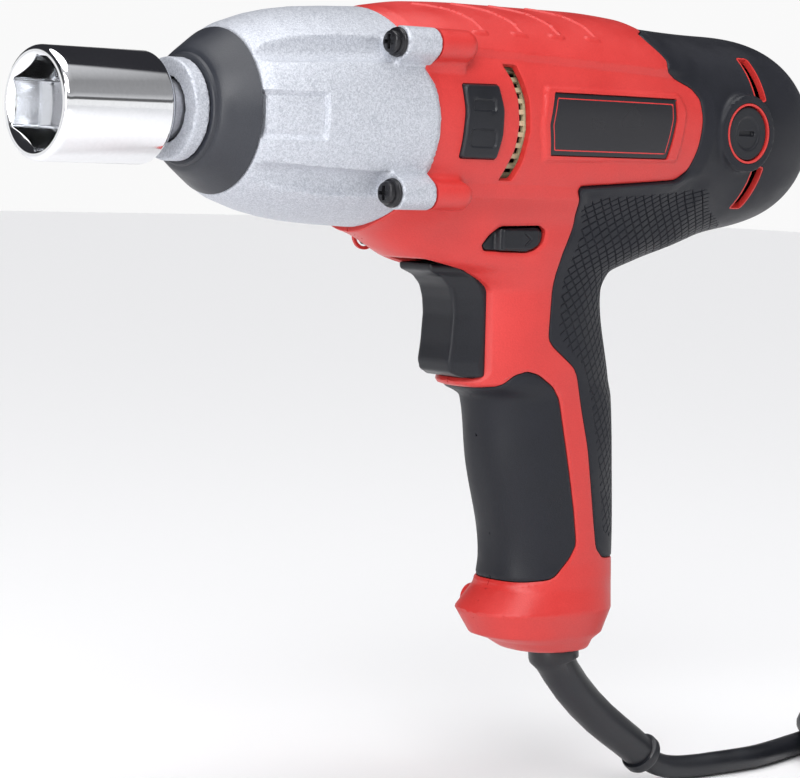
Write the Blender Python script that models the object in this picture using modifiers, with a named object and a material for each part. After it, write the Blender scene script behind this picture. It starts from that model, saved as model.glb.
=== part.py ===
"""Corded impact wrench: driving dimensions first, then one section for each group of sub-parts.

The design is laid out in millimetres in the tool's own directions: u runs back from the socket's front face
along the drive axis, y is across the tool and z is up, both measured from the drive axis. The function world()
turns such a point into metres, with the origin in the middle of the hand grip.
"""

import math

import bmesh
import bpy
from mathutils import Matrix, Vector

# ---------------------------------------------------------------- driving dimensions, millimetres
MM = 0.001
GAP = 0.3                      # clearance between touching pieces
GRIP_U = 195.0                 # middle of the hand grip, behind the socket's front face
GRIP_Z = -105.0                # middle of the hand grip, below the drive axis

SOCKET_LENGTH = 38.0
SOCKET_RADIUS = 16.0
HEX_ACROSS_FLATS = 23.0
HEX_DEPTH = 20.0
DRIVE_SQUARE = 12.7
SHAFT_RADIUS = 8.7             # round part of the anvil

COLLAR_U = 44.0                # front face of the nose housing
BUMPER_U = (49.0, 60.7)        # groove that holds the rubber bumper
RIM_U = 112.0                  # rear rim of the nose housing, top and bottom
RIM_SIDE_U = 118.5             # the same rim on the sides, where it bulges back
LUG_Y, LUG_Z, LUG_RADIUS = 29.5, 21.7, 4.8
LUG_U = (104.5, 117.7)
BUMP_END_U = 130.0

CARRIER_U = (104.9, 109.0)
GEAR_U = (109.4, 117.0)        # face width of the planet stage
GEAR_MODULE = 1.0
SUN_TEETH, PLANET_TEETH, RING_TEETH = 9, 21, 51
PLANET_ORBIT = GEAR_MODULE * (SUN_TEETH + PLANET_TEETH) / 2

HAMMER_U = (77.0, 93.0)
HAMMER_RADIUS = 23.5
CAM_RADIUS = 8.2
BALL_RADIUS = 2.8
BALL_U = 83.0

MOTOR_SHAFT_RADIUS = 4.0
FAN_U = (144.0, 153.0)
STATOR_U = (161.0, 224.0)
BRUSH_U = 250.4
COMMUTATOR_RADIUS = 11.0
REAR_BEARING_U = (266.0, 272.0)

WALL = 3.4                     # shell wall
INLAY = 1.5                    # depth of the soft pads and labels in the shell
PAD_PROUD = 0.8

TRIGGER_HALF_WIDTH = 11.0      # across the cheeks behind the finger face
FINGER_HALF_WIDTH = 8.0
TRIGGER_BACK_U = 160.5
LEVER_Z = (-38.8, -31.4)

CORD_RADIUS = 3.9
CORD_LEVEL = -214.0            # centre of the cord where it lies level
COIL_CENTRE = (369.1, -29.2)
COIL_RADII = (28.3, 51.7)      # inside and outside of the bundle of turns
COIL_HEIGHT = 21.3

ROUND = 24                     # sides of a large turned piece
FINE = 12                      # sides of a small one
BODY_SIDES = 20                # sides of the body's sections

# Motor barrel: distance u, height above the axis, depth below it, half width, squareness of the section
BARREL = [
    (112.0, 33.0, 33.0, 33.0, 2.0),
    (130.0, 35.3, 34.0, 33.0, 2.2),
    (150.0, 35.9, 34.4, 33.0, 2.3),
    (192.0, 36.0, 34.0, 33.0, 2.4),
    (212.0, 35.0, 33.4, 33.0, 2.2),
    (226.0, 32.4, 32.5, 32.5, 2.05),
    (256.0, 31.5, 31.6, 31.6, 2.0),
    (274.0, 29.9, 29.9, 29.9, 2.0),
    (286.0, 26.6, 26.6, 26.6, 2.0),
    (293.5, 21.4, 21.4, 21.4, 2.0),
    (297.6, 10.0, 10.0, 10.0, 2.0),
]

# Handle: height z, front u, back u, half width, squareness of the section
HANDLE = [
    (-15.0, 150.0, 235.0, 24.0, 2.2),
    (-28.0, 116.0, 262.0, 22.0, 2.2),
    (-34.0, 118.0, 254.0, 22.5, 2.2),
    (-42.0, 131.0, 227.0, 21.0, 2.3),
    (-46.0, 145.0, 216.5, 20.0, 2.3),
    (-52.0, 154.5, 213.5, 19.0, 2.3),
    (-79.5, 154.3, 219.3, 17.9, 2.3),
    (-85.5, 164.5, 220.6, 17.6, 2.3),
    (-105.0, 167.5, 222.5, 17.5, 2.3),
    (-137.0, 175.0, 224.0, 17.0, 2.3),
    (-150.0, 168.0, 223.5, 20.0, 2.3),
    (-158.0, 170.0, 222.5, 19.8, 2.3),
    (-167.0, 182.0, 215.0, 13.0, 2.3),
]

# Side outlines (u, z)
NOSE_RIM = [(RIM_U, 50.0), (RIM_U, 31.4), (112.9, 27.1), (114.8, 16.0), (117.4, 9.0), (RIM_SIDE_U, 2.0),
            (RIM_SIDE_U, -6.0), (117.8, -16.0), (114.5, -27.1), (RIM_U, -32.1), (RIM_U, -50.0)]
OVERMOULD = [(310.0, 45.0), (227.5, 45.0), (227.0, 32.4), (212.5, 30.0), (214.0, 27.3), (217.4, 24.0),
             (219.0, 21.7), (217.2, 18.6), (221.8, 16.7), (228.0, 14.2), (231.2, 10.6), (231.6, 3.7),
             (230.0, -5.8), (227.7, -12.8), (223.4, -16.4), (181.3, -19.1), (180.6, -20.3), (182.4, -23.3),
             (184.3, -30.5), (181.5, -38.2), (180.0, -47.5), (180.0, -66.1), (182.2, -68.6), (191.6, -75.0),
             (193.7, -78.2), (196.2, -88.3), (200.0, -101.1), (204.8, -126.7), (206.2, -133.2), (210.0, -136.6),
             (245.0, -138.5), (310.0, -60.0)]
GRIP_PAD = [(140.0, -80.8), (158.0, -82.0), (164.0, -81.0), (168.5, -77.3), (172.7, -76.1), (177.0, -77.2),
            (183.2, -81.1), (186.5, -85.2), (190.4, -101.1), (195.0, -120.3), (197.0, -131.5), (194.2, -136.1),
            (188.0, -142.0), (178.0, -143.2), (165.0, -142.2), (150.0, -139.5)]
SIDE_PAD = [(128.6, 11.2), (129.6, 3.0), (128.6, -11.4), (143.0, -11.4), (144.6, -4.0), (144.8, 3.7),
            (142.8, 11.4)]
LABEL = [(165.2, 9.8), (218.2, 9.8), (218.1, 3.2), (214.9, -9.3), (164.4, -9.4), (163.1, -0.1)]
VENT = [(147.6, 18.0), (150.5, 12.8), (152.2, 7.0), (153.0, -0.5), (152.0, -8.0), (148.0, -18.0),
        (152.0, -18.0), (154.2, -12.4), (156.0, -2.0), (155.4, 7.0), (153.6, 13.0), (151.7, 18.0)]
FINGER = [(139.4, -43.2), (139.6, -45.4), (144.6, -47.3), (147.6, -50.2), (149.0, -54.0), (149.6, -59.0),
          (149.0, -68.0), (148.2, -73.5), (149.2, -76.6), (153.0, -78.2), (159.0, -78.2), (159.0, -43.2)]
LEVER = [(150.2, -36.8), (155.4, -31.9), (170.2, LEVER_Z[1]), (172.4, -33.0), (171.6, -36.2),
         (166.4, LEVER_Z[0]), (151.2, -38.4)]
# Shell screws: u, z and the half length of the bosses that they pull together
SHELL_SCREWS = [(129.5, -35.4, 11.4), (211.0, -92.0, 13.0), (184.0, -152.0, 17.6)]

# Boot centreline and radius: u, z, radius
BOOT = [(204.9, -148.0, 4.3), (204.9, -158.5, 4.3), (204.9, -158.6, 8.0), (204.9, -160.5, 8.0),
        (204.9, -160.6, 6.3), (204.9, -167.6, 6.3), (204.9, -167.7, 8.2), (205.2, -171.0, 8.1),
        (205.4, -171.3, 6.4), (208.6, -175.6, 6.3), (213.8, -181.4, 6.2), (220.0, -187.2, 6.1),
        (227.0, -192.8, 6.0), (234.0, -197.6, 5.9), (241.0, -202.2, 5.8), (246.4, -205.9, 5.7),
        (246.6, -206.1, 6.8), (249.0, -207.9, 6.8)]

# Cord route from the boot to the coil (u, y, z)
CORD = [(249.8, 0.0, -208.4), (252.6, 0.0, -210.1), (256.8, 0.0, -211.9), (263.0, 0.0, -213.3),
        (272.0, -0.2, CORD_LEVEL), (284.0, -0.9, CORD_LEVEL), (294.0, -1.2, CORD_LEVEL),
        (303.0, -0.7, CORD_LEVEL), (312.0, 1.1, CORD_LEVEL), (319.0, 2.8, CORD_LEVEL),
        (325.3, 4.5, CORD_LEVEL)]

# Finishes: colour, roughness, metallic
RED = ((0.60, 0.058, 0.052), 0.5, 0.0)
BLACK = ((0.028, 0.028, 0.033), 0.6, 0.0)
RUBBER = ((0.022, 0.022, 0.026), 0.75, 0.0)
CHROME = ((0.85, 0.86, 0.88), 0.08, 1.0)
STEEL = ((0.45, 0.45, 0.46), 0.35, 1.0)
CAST = ((0.62, 0.64, 0.67), 0.5, 0.9)
COPPER = ((0.72, 0.34, 0.18), 0.35, 1.0)
BRASS = ((0.70, 0.52, 0.24), 0.35, 1.0)
CARBON = ((0.03, 0.03, 0.03), 0.7, 0.0)
CREAM = ((0.72, 0.66, 0.48), 0.5, 0.0)
BRONZE = ((0.45, 0.30, 0.14), 0.45, 1.0)


# ---------------------------------------------------------------- scene and helpers
def clear_scene():
    for old in list(bpy.data.objects):
        bpy.data.objects.remove(old, do_unlink=True)


def new_collection(name):
    collection = bpy.data.collections.new(name)
    bpy.context.scene.collection.children.link(collection)
    return collection


clear_scene()
PARTS = new_collection("impact_wrench")
CUTTERS = new_collection("cutters")


def world(u, y, z):
    """A point of the layout, in metres from the middle of the hand grip."""
    return Vector(((u - GRIP_U) * MM, y * MM, (z - GRIP_Z) * MM))


def add_mesh(name, bm):
    """A helper solid in the cutters' collection; part() turns it into a sub-part."""
    bmesh.ops.recalc_face_normals(bm, faces=bm.faces)
    mesh = bpy.data.meshes.new(name)
    bm.to_mesh(mesh)
    bm.free()
    solid = bpy.data.objects.new(name, mesh)
    CUTTERS.objects.link(solid)
    solid.hide_render = True
    solid.display_type = "WIRE"
    return solid


def evaluated_mesh(solid):
    depsgraph = bpy.context.evaluated_depsgraph_get()
    depsgraph.update()
    return bpy.data.meshes.new_from_object(solid.evaluated_get(depsgraph))


def block(name, low, high):
    """A box between two corners (u, y, z)."""
    size = [(b - a) * MM for a, b in zip(low, high)]
    centre = (world(*low) + world(*high)) / 2
    bm = bmesh.new()
    bmesh.ops.create_cube(bm, size=1.0, matrix=Matrix.Translation(centre) @ Matrix.Diagonal((*size, 1.0)))
    return add_mesh(name, bm)


def rod(name, start, end, radius, sides=FINE):
    """A cylinder from one point (u, y, z) to another."""
    a, b = world(*start), world(*end)
    turn = (b - a).to_track_quat("Z", "Y").to_matrix().to_4x4()
    bm = bmesh.new()
    bmesh.ops.create_cone(bm, cap_ends=True, segments=sides, radius1=radius * MM, radius2=radius * MM,
                          depth=(b - a).length, matrix=Matrix.Translation((a + b) / 2) @ turn)
    return add_mesh(name, bm)


def ball(name, centre, radius):
    bm = bmesh.new()
    bmesh.ops.create_uvsphere(bm, u_segments=10, v_segments=6, radius=radius * MM,
                              matrix=Matrix.Translation(world(*centre)))
    return add_mesh(name, bm)


def turned(name, profile, sides=ROUND, y=0.0, z=0.0):
    """A profile (u, radius) turned about a line along u; a profile that ends on the line is solid."""
    closed = profile[0][1] > 0
    mesh = bpy.data.meshes.new(name)
    points = [((u - GRIP_U) * MM, 0.0, radius * MM) for u, radius in profile]
    count = len(points)
    edges = [(i, (i + 1) % count) for i in range(count if closed else count - 1)]
    mesh.from_pydata(points, edges, [])
    solid = bpy.data.objects.new(name, mesh)
    CUTTERS.objects.link(solid)
    screw = solid.modifiers.new("turn", "SCREW")
    screw.axis = "X"
    screw.steps = screw.render_steps = sides
    screw.use_merge_vertices = True
    screw.merge_threshold = 1e-6
    bm = bmesh.new()
    bm.from_mesh(evaluated_mesh(solid))
    bpy.data.objects.remove(solid)
    bmesh.ops.translate(bm, verts=bm.verts, vec=(0.0, y * MM, (z - GRIP_Z) * MM))
    return add_mesh(name, bm)


SIDE = Matrix(((1, 0, 0), (0, 0, -1), (0, 1, 0))).to_4x4()      # outline (u, z), thickness along y
AXIAL = Matrix(((0, 0, 1), (1, 0, 0), (0, 1, 0))).to_4x4()      # outline (y, z), thickness along u


def flat(name, loops, low, high, plane):
    """Flat outlines, the first outside and the others holes in it, given thickness between two levels."""
    curve = bpy.data.curves.new(name, "CURVE")
    curve.dimensions = "2D"
    curve.fill_mode = "BOTH"
    curve.extrude = (high - low) / 2 * MM
    for loop in loops:
        spline = curve.splines.new("POLY")
        spline.points.add(len(loop) - 1)
        for point, (a, b) in zip(spline.points, loop):
            point.co = (a * MM, b * MM, 0.0, 1.0)
        spline.use_cyclic_u = True
    outline = bpy.data.objects.new(name, curve)
    CUTTERS.objects.link(outline)
    bm = bmesh.new()
    bm.from_mesh(evaluated_mesh(outline))
    bpy.data.objects.remove(outline)
    bmesh.ops.remove_doubles(bm, verts=bm.verts, dist=1e-6)
    middle = (low + high) / 2
    shift = world(0.0, middle, 0.0) if plane is SIDE else world(middle, 0.0, 0.0)
    bmesh.ops.transform(bm, matrix=Matrix.Translation(shift) @ plane, verts=bm.verts)
    return add_mesh(name, bm)


def tube(name, path, radii, sides_resolution=2):
    """A round bar along points (u, y, z), with one radius for each point."""
    curve = bpy.data.curves.new(name, "CURVE")
    curve.dimensions = "3D"
    curve.bevel_depth = MM
    curve.bevel_resolution = sides_resolution
    curve.use_fill_caps = True
    spline = curve.splines.new("POLY")
    spline.points.add(len(path) - 1)
    for point, place, radius in zip(spline.points, path, radii):
        point.co = (*world(*place), 1.0)
        point.radius = radius
    bar = bpy.data.objects.new(name, curve)
    CUTTERS.objects.link(bar)
    bm = bmesh.new()
    bm.from_mesh(evaluated_mesh(bar))
    bpy.data.objects.remove(bar)
    bmesh.ops.remove_doubles(bm, verts=bm.verts, dist=1e-7)
    return add_mesh(name, bm)


def helix(name, centre, radius, wire, turns, start, end, axis="u"):
    """A coil spring along u or y, with its wire's centre between two levels."""
    steps = int(turns * 8)
    path = []
    for i in range(steps + 1):
        angle = 2 * math.pi * turns * i / steps
        along = start + (end - start) * i / steps
        a, b = radius * math.cos(angle), radius * math.sin(angle)
        if axis == "u":
            path.append((along, centre[0] + a, centre[1] + b))
        else:
            path.append((centre[0] + a, along, centre[1] + b))
    return tube(name, path, [wire] * len(path), 1)


def loft(name, rings):
    """A closed skin through rings of points, each with the same number of points."""
    bm = bmesh.new()
    rows = [[bm.verts.new(world(*point)) for point in ring] for ring in rings]
    for row, after in zip(rows, rows[1:]):
        for i in range(len(row)):
            j = (i + 1) % len(row)
            bm.faces.new((row[i], row[j], after[j], after[i]))
    bm.faces.new(rows[0])
    bm.faces.new(rows[-1])
    bmesh.ops.triangulate(bm, faces=bm.faces)
    return add_mesh(name, bm)


def arc(radius, start, end, steps):
    """Points of an arc, angles in degrees from the first axis."""
    angles = [math.radians(start + (end - start) * i / steps) for i in range(steps + 1)]
    return [(radius * math.cos(angle), radius * math.sin(angle)) for angle in angles]


def circle(radius, sides=ROUND):
    return arc(radius, 0.0, 360.0 * (sides - 1) / sides, sides - 1)


def toothed(teeth, root, tip, root_half, tip_half, phase=0.0, centre=(0.0, 0.0)):
    """Outline of a toothed wheel: half widths of a tooth at its root and at its tip, first tooth at phase."""
    points = []
    for i in range(teeth):
        middle = math.radians(phase) + 2 * math.pi * i / teeth
        for radius, half in ((root, -root_half), (tip, -tip_half), (tip, tip_half), (root, root_half)):
            angle = middle + half / radius
            points.append((centre[0] + radius * math.cos(angle), centre[1] + radius * math.sin(angle)))
    return points


def grown(outline, distance):
    """An outline moved outwards by a distance, corner by corner."""
    area = sum(a[0] * b[1] - b[0] * a[1] for a, b in zip(outline, outline[1:] + outline[:1]))
    side = 1.0 if area > 0 else -1.0
    result = []
    for before, here, after in zip(outline[-1:] + outline[:-1], outline, outline[1:] + outline[:1]):
        first = Vector((here[0] - before[0], here[1] - before[1])).normalized()
        second = Vector((after[0] - here[0], after[1] - here[1])).normalized()
        out_first = Vector((first.y, -first.x)) * side
        out_second = Vector((second.y, -second.x)) * side
        mitre = (out_first + out_second).normalized()
        reach = distance / max(mitre.dot(out_first), 0.35)
        result.append((here[0] + mitre.x * reach, here[1] + mitre.y * reach))
    return result


def combine(target, operation, *others):
    for other in others:
        boolean = target.modifiers.new(operation.lower(), "BOOLEAN")
        boolean.operation = operation
        boolean.object = other
    return target


def cut(target, *cutters):
    return combine(target, "DIFFERENCE", *cutters)


def join(target, *others):
    return combine(target, "UNION", *others)


def common(target, *others):
    return combine(target, "INTERSECT", *others)


def copy_of(solid, name):
    """A second helper solid with the same mesh and modifiers."""
    twin = solid.copy()
    twin.name = name
    CUTTERS.objects.link(twin)
    return twin


def bevel(target, width, segments=2, angle=40.0):
    edge = target.modifiers.new("round", "BEVEL")
    edge.width = width * MM
    edge.segments = segments
    edge.limit_method = "ANGLE"
    edge.angle_limit = math.radians(angle)
    return target


def part(solid, finish, joint_empty=None):
    """Makes a helper solid a sub-part: its collection, its own material and its joint's empty."""
    colour, roughness, metallic = finish
    material = bpy.data.materials.new(solid.name)
    material.use_nodes = True
    shader = material.node_tree.nodes["Principled BSDF"]
    shader.inputs["Base Color"].default_value = (*colour, 1.0)
    shader.inputs["Roughness"].default_value = roughness
    shader.inputs["Metallic"].default_value = metallic
    solid.data.materials.clear()
    solid.data.materials.append(material)
    solid.data.shade_smooth()
    solid.data.set_sharp_from_angle(angle=math.radians(35))
    CUTTERS.objects.unlink(solid)
    PARTS.objects.link(solid)
    solid.hide_render = False
    solid.display_type = "TEXTURED"
    if joint_empty:
        solid.parent = joint_empty
        solid.matrix_parent_inverse = joint_empty.matrix_world.inverted()
    return solid


def joint_empty(name, u, y, z, parent=None):
    """An empty on a joint's axis, for the pieces that move about it."""
    empty = bpy.data.objects.new(name, None)
    PARTS.objects.link(empty)
    place = Matrix.Translation(world(u, y, z))
    if parent:
        empty.parent = parent
        empty.matrix_parent_inverse = parent.matrix_world.inverted()
    empty.matrix_basis = place
    bpy.context.view_layer.update()
    return empty


DRIVE_AXIS = joint_empty("drive_axis", CARRIER_U[0], 0.0, 0.0)
HAMMER_AXIS = joint_empty("hammer_axis", HAMMER_U[0], 0.0, 0.0, DRIVE_AXIS)
ANVIL_AXIS = joint_empty("anvil_axis", COLLAR_U, 0.0, 0.0)
SOCKET_AXIS = joint_empty("socket_axis", 0.0, 0.0, 0.0, ANVIL_AXIS)
MOTOR_AXIS = joint_empty("motor_axis", BRUSH_U, 0.0, 0.0)
TRIGGER_AXIS = joint_empty("trigger_axis", TRIGGER_BACK_U, 0.0, -60.0)
LEVER_AXIS = joint_empty("lever_axis", 161.0, 0.0, -35.0)


# ---------------------------------------------------------------- body surfaces
def section(half_a, high, low, squareness, count):
    """A rounded section: half width, height above and depth below the middle, squareness 2 for an ellipse."""
    points = []
    for i in range(count):
        angle = 2 * math.pi * (i + 0.5) / count
        across, up = math.cos(angle), math.sin(angle)
        power = 2.0 / squareness
        a = math.copysign(abs(across) ** power, across) * half_a
        b = math.copysign(abs(up) ** power, up) * (high if up > 0 else low)
        points.append((a, b))
    return points


def body_solid(name, inset, front=RIM_U, sides=BODY_SIDES):
    """The body's outer surface moved inwards by inset, as one solid of barrel and handle."""
    barrel_rings = []
    for u, top, bottom, half, squareness in BARREL:
        place = front if u == RIM_U else u - inset * min(max((u - 256.0) / 30.0, 0.0), 1.0)
        ring = section(half - inset, top - inset, bottom - inset, squareness, sides)
        barrel_rings.append([(place, y, z) for y, z in ring])
    handle_rings = []
    lowest = HANDLE[-1][0]
    for z, u_front, u_back, half, squareness in HANDLE:
        middle, reach = (u_front + u_back) / 2, (u_back - u_front) / 2 - inset
        height = z + inset * min(max((-150.0 - z) / (-150.0 - lowest), 0.0), 1.0)
        ring = section(reach, half - inset, half - inset, squareness, sides)
        handle_rings.append([(middle + a, b, height) for a, b in ring])
    barrel = loft(name, barrel_rings)
    return join(barrel, loft(name + "_handle", handle_rings))


OUTER = body_solid("outer", 0.0)
PROUD = body_solid("proud", -PAD_PROUD)
FLOOR = body_solid("inlay_floor", INLAY)
POCKET_FLOOR = body_solid("pocket_floor", INLAY + GAP)
CAVITY = body_solid("cavity", WALL, front=90.0, sides=16)

REACH = 80.0
LEFT = block("left_half", (-50.0, -REACH, -250.0), (400.0, -GAP / 2, 100.0))
RIGHT = block("right_half", (-50.0, GAP / 2, -250.0), (400.0, REACH, 100.0))
HALVES = (("left", LEFT, -1.0), ("right", RIGHT, 1.0))


def pocket(name, outline):
    """The room that an inlay needs in the shell."""
    return cut(flat(name, [grown(outline, GAP)], -REACH, REACH, SIDE), POCKET_FLOOR)


# ---------------------------------------------------------------- socket, anvil and nose
def make_socket():
    socket = turned("socket", [(0.0, 0.0), (0.0, 15.1), (0.3, 15.6), (1.0, 15.9), (2.4, SOCKET_RADIUS),
                               (35.4, SOCKET_RADIUS), (SOCKET_LENGTH, 13.6), (SOCKET_LENGTH, 0.0)], 36)
    corner = HEX_ACROSS_FLATS / 2 / math.cos(math.radians(30))
    hexagon = flat("hexagon", [circle(corner, 6)], -2.0, HEX_DEPTH, AXIAL)
    lead_in = turned("lead_in", [(-1.0, 0.0), (-1.0, 14.8), (2.2, 11.6), (2.2, 0.0)], 34)
    half = DRIVE_SQUARE / 2 + 0.2
    square = block("socket_square", (HEX_DEPTH - 1.0, -half, -half), (SOCKET_LENGTH + 1.0, half, half))
    part(cut(socket, hexagon, lead_in, square), CHROME, SOCKET_AXIS)


def make_anvil():
    anvil = turned("anvil", [(38.3, 0.0), (38.3, 8.2), (38.8, SHAFT_RADIUS), (67.0, SHAFT_RADIUS), (67.0, 12.0),
                             (76.0, 12.0), (76.0, 0.0)], 24)
    half, clipped = DRIVE_SQUARE / 2, DRIVE_SQUARE / 2 - 1.3
    corners = [(half, -clipped), (half, clipped), (clipped, half), (-clipped, half),
               (-half, clipped), (-half, -clipped), (-clipped, -half), (clipped, -half)]
    square = flat("anvil_square", [corners], HEX_DEPTH + 0.5, 40.0, AXIAL)
    ears = arc(20.0, -13.0, 13.0, 4) + arc(20.0, 167.0, 193.0, 4)
    ear_bar = flat("anvil_ears", [ears], 67.2, 75.8, AXIAL)
    groove = turned("ring_groove", [(22.5, 5.0), (22.5, 12.0), (24.5, 12.0), (24.5, 5.0)], 24)
    pilot = rod("pilot_bore", (69.0, 0.0, 0.0), (80.0, 0.0, 0.0), 5.3)
    join(anvil, square, ear_bar)
    part(cut(anvil, groove, pilot), STEEL, ANVIL_AXIS)
    ring = turned("retaining_ring", [(22.8, 5.3), (22.8, 6.3), (24.2, 6.3), (24.2, 5.3)], 24)
    part(ring, STEEL, ANVIL_AXIS)


def lug_places():
    """Places (y, z) of the four nose screws, with a name for each corner."""
    for side, y in (("left", -LUG_Y), ("right", LUG_Y)):
        for level, z in (("upper", LUG_Z), ("lower", -LUG_Z)):
            yield level + "_" + side, y, z


def make_nose():
    start, end = BUMPER_U
    profile = [(COLLAR_U, 9.4), (COLLAR_U, 14.2), (COLLAR_U + 0.5, 14.7), (start, 14.7), (start, 13.5),
               (end, 13.5), (end, 24.0), (64.5, 25.8), (73.0, 28.6), (88.0, 31.1), (99.0, 31.9), (120.0, 32.8),
               (120.0, 29.0), (106.0, 29.0), (106.0, 27.6), (88.0, 27.4), (73.0, 24.6), (67.0, 21.5),
               (65.0, 12.5), (49.7, 12.5), (49.7, 9.4)]
    housing = turned("nose_housing", profile, 28)
    behind_rim = flat("behind_rim", [NOSE_RIM + [(140.0, -50.0), (140.0, 50.0)]], -REACH, REACH, SIDE)
    cut(housing, behind_rim)
    for corner, y, z in lug_places():
        join(housing, rod("lug_" + corner, (LUG_U[0], y, z), (LUG_U[1], y, z), LUG_RADIUS))
    for corner, y, z in lug_places():
        cut(housing, rod("lug_hole_" + corner, (100.0, y, z), (125.0, y, z), 2.3, 12))
    part(housing, CAST)
    bumper = turned("nose_bumper", [(start + GAP, 13.8), (start + GAP, 15.9), (50.6, 16.2), (51.0, 17.7),
                                    (end - GAP, 23.9), (end - GAP, 13.8)], 28)
    part(bumper, RUBBER)
    part(turned("front_bush", [(50.0, 9.0), (50.0, 12.2), (64.7, 12.2), (64.7, 9.0)], 24), BRONZE)
    for corner, y, z in lug_places():
        head = LUG_U[0] - GAP
        screw = turned("nose_screw_" + corner,
                       [(head - 3.2, 0.0), (head - 3.2, 3.2), (head - 2.6, 3.8), (head - 0.9, 3.8),
                        (head - 0.9, 4.6), (head, 4.6), (head, 2.0), (126.0, 2.0), (126.0, 0.0)], 12, y, z)
        part(screw, BLACK)


# ---------------------------------------------------------------- impact mechanism
def make_hammer():
    front, rear = HAMMER_U
    groove = 84.0
    hammer = turned("hammer", [(front, 8.6), (front, 22.5), (front + 1.0, HAMMER_RADIUS),
                               (rear - 0.8, HAMMER_RADIUS), (rear, 22.7), (rear, 19.5), (groove, 19.5),
                               (groove, 11.6), (rear, 11.6), (rear, 8.6)])
    for name, middle in (("up", 90.0), ("down", 270.0)):
        sector = arc(20.0, middle - 24.0, middle + 24.0, 6) + arc(13.0, middle + 24.0, middle - 24.0, 6)
        join(hammer, flat("hammer_dog_" + name, [sector], 69.5, front + 0.5, AXIAL))
    for side in (-1.0, 1.0):
        y = side * CAM_RADIUS
        join_end = ball("hammer_seat", (BALL_U, y, 0.0), BALL_RADIUS + GAP)
        cut(hammer, rod("hammer_groove", (70.0, y, 0.0), (BALL_U, y, 0.0), BALL_RADIUS + GAP, 12), join_end)
    part(hammer, STEEL, HAMMER_AXIS)


def make_camshaft():
    plate, back = CARRIER_U
    shaft = turned("cam_shaft", [(70.4, 0.0), (70.4, 4.9), (79.4, 4.9), (79.4, CAM_RADIUS), (plate, CAM_RADIUS),
                                 (plate, 22.5), (back, 22.5), (back, 0.0)])
    for k in range(3):
        angle = math.radians(120.0 * k)
        y, z = PLANET_ORBIT * math.cos(angle), PLANET_ORBIT * math.sin(angle)
        join(shaft, rod("planet_pin_%d" % (k + 1), (back - 1.0, y, z), (GEAR_U[1] + 0.5, y, z), 2.4, 12))
    for number, side in enumerate((-1.0, 1.0), 1):
        centre = (BALL_U, side * CAM_RADIUS, 0.0)
        cut(shaft, ball("cam_seat_%d" % number, centre, BALL_RADIUS + GAP))
        part(ball("cam_ball_%d" % number, centre, BALL_RADIUS), STEEL, DRIVE_AXIS)
    part(shaft, STEEL, DRIVE_AXIS)
    spring = helix("hammer_spring", (0.0, 0.0), 15.5, 1.5, 4.5, 85.9, plate - GAP - 1.6)
    part(spring, STEEL, DRIVE_AXIS)


def make_planet_stage():
    front, back = GEAR_U
    addendum, dedendum = 0.8 * GEAR_MODULE, 1.1 * GEAR_MODULE
    sizes = {"root_half": 0.75, "tip_half": 0.3}
    for k in range(3):
        angle = 120.0 * k
        y = PLANET_ORBIT * math.cos(math.radians(angle))
        z = PLANET_ORBIT * math.sin(math.radians(angle))
        pitch = GEAR_MODULE * PLANET_TEETH / 2
        outline = toothed(PLANET_TEETH, pitch - dedendum, pitch + addendum, phase=angle, centre=(y, z), **sizes)
        bore = [(y + a, z + b) for a, b in circle(2.7, 12)]
        axis = joint_empty("planet_axis_%d" % (k + 1), front, y, z, DRIVE_AXIS)
        part(flat("planet_gear_%d" % (k + 1), [outline, bore], front, back, AXIAL), STEEL, axis)
    pitch = GEAR_MODULE * RING_TEETH / 2
    half_pitch = 180.0 / RING_TEETH
    inner = toothed(RING_TEETH, pitch + dedendum, pitch - addendum, phase=half_pitch, **sizes)
    part(flat("ring_gear", [circle(28.6, 48), inner], front, back + 1.0, AXIAL), STEEL)
    cover = turned("gear_case_cover", [(118.5, 11.2), (118.5, 28.6), (121.5, 28.6), (121.5, 14.0), (128.0, 14.0),
                                       (128.0, 6.0), (126.4, 6.0), (126.4, 11.2)])
    part(cover, CAST)
    part(turned("front_bearing", [(119.6, 4.3), (119.6, 10.9), (126.1, 10.9), (126.1, 4.3)], 24), STEEL)


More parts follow.
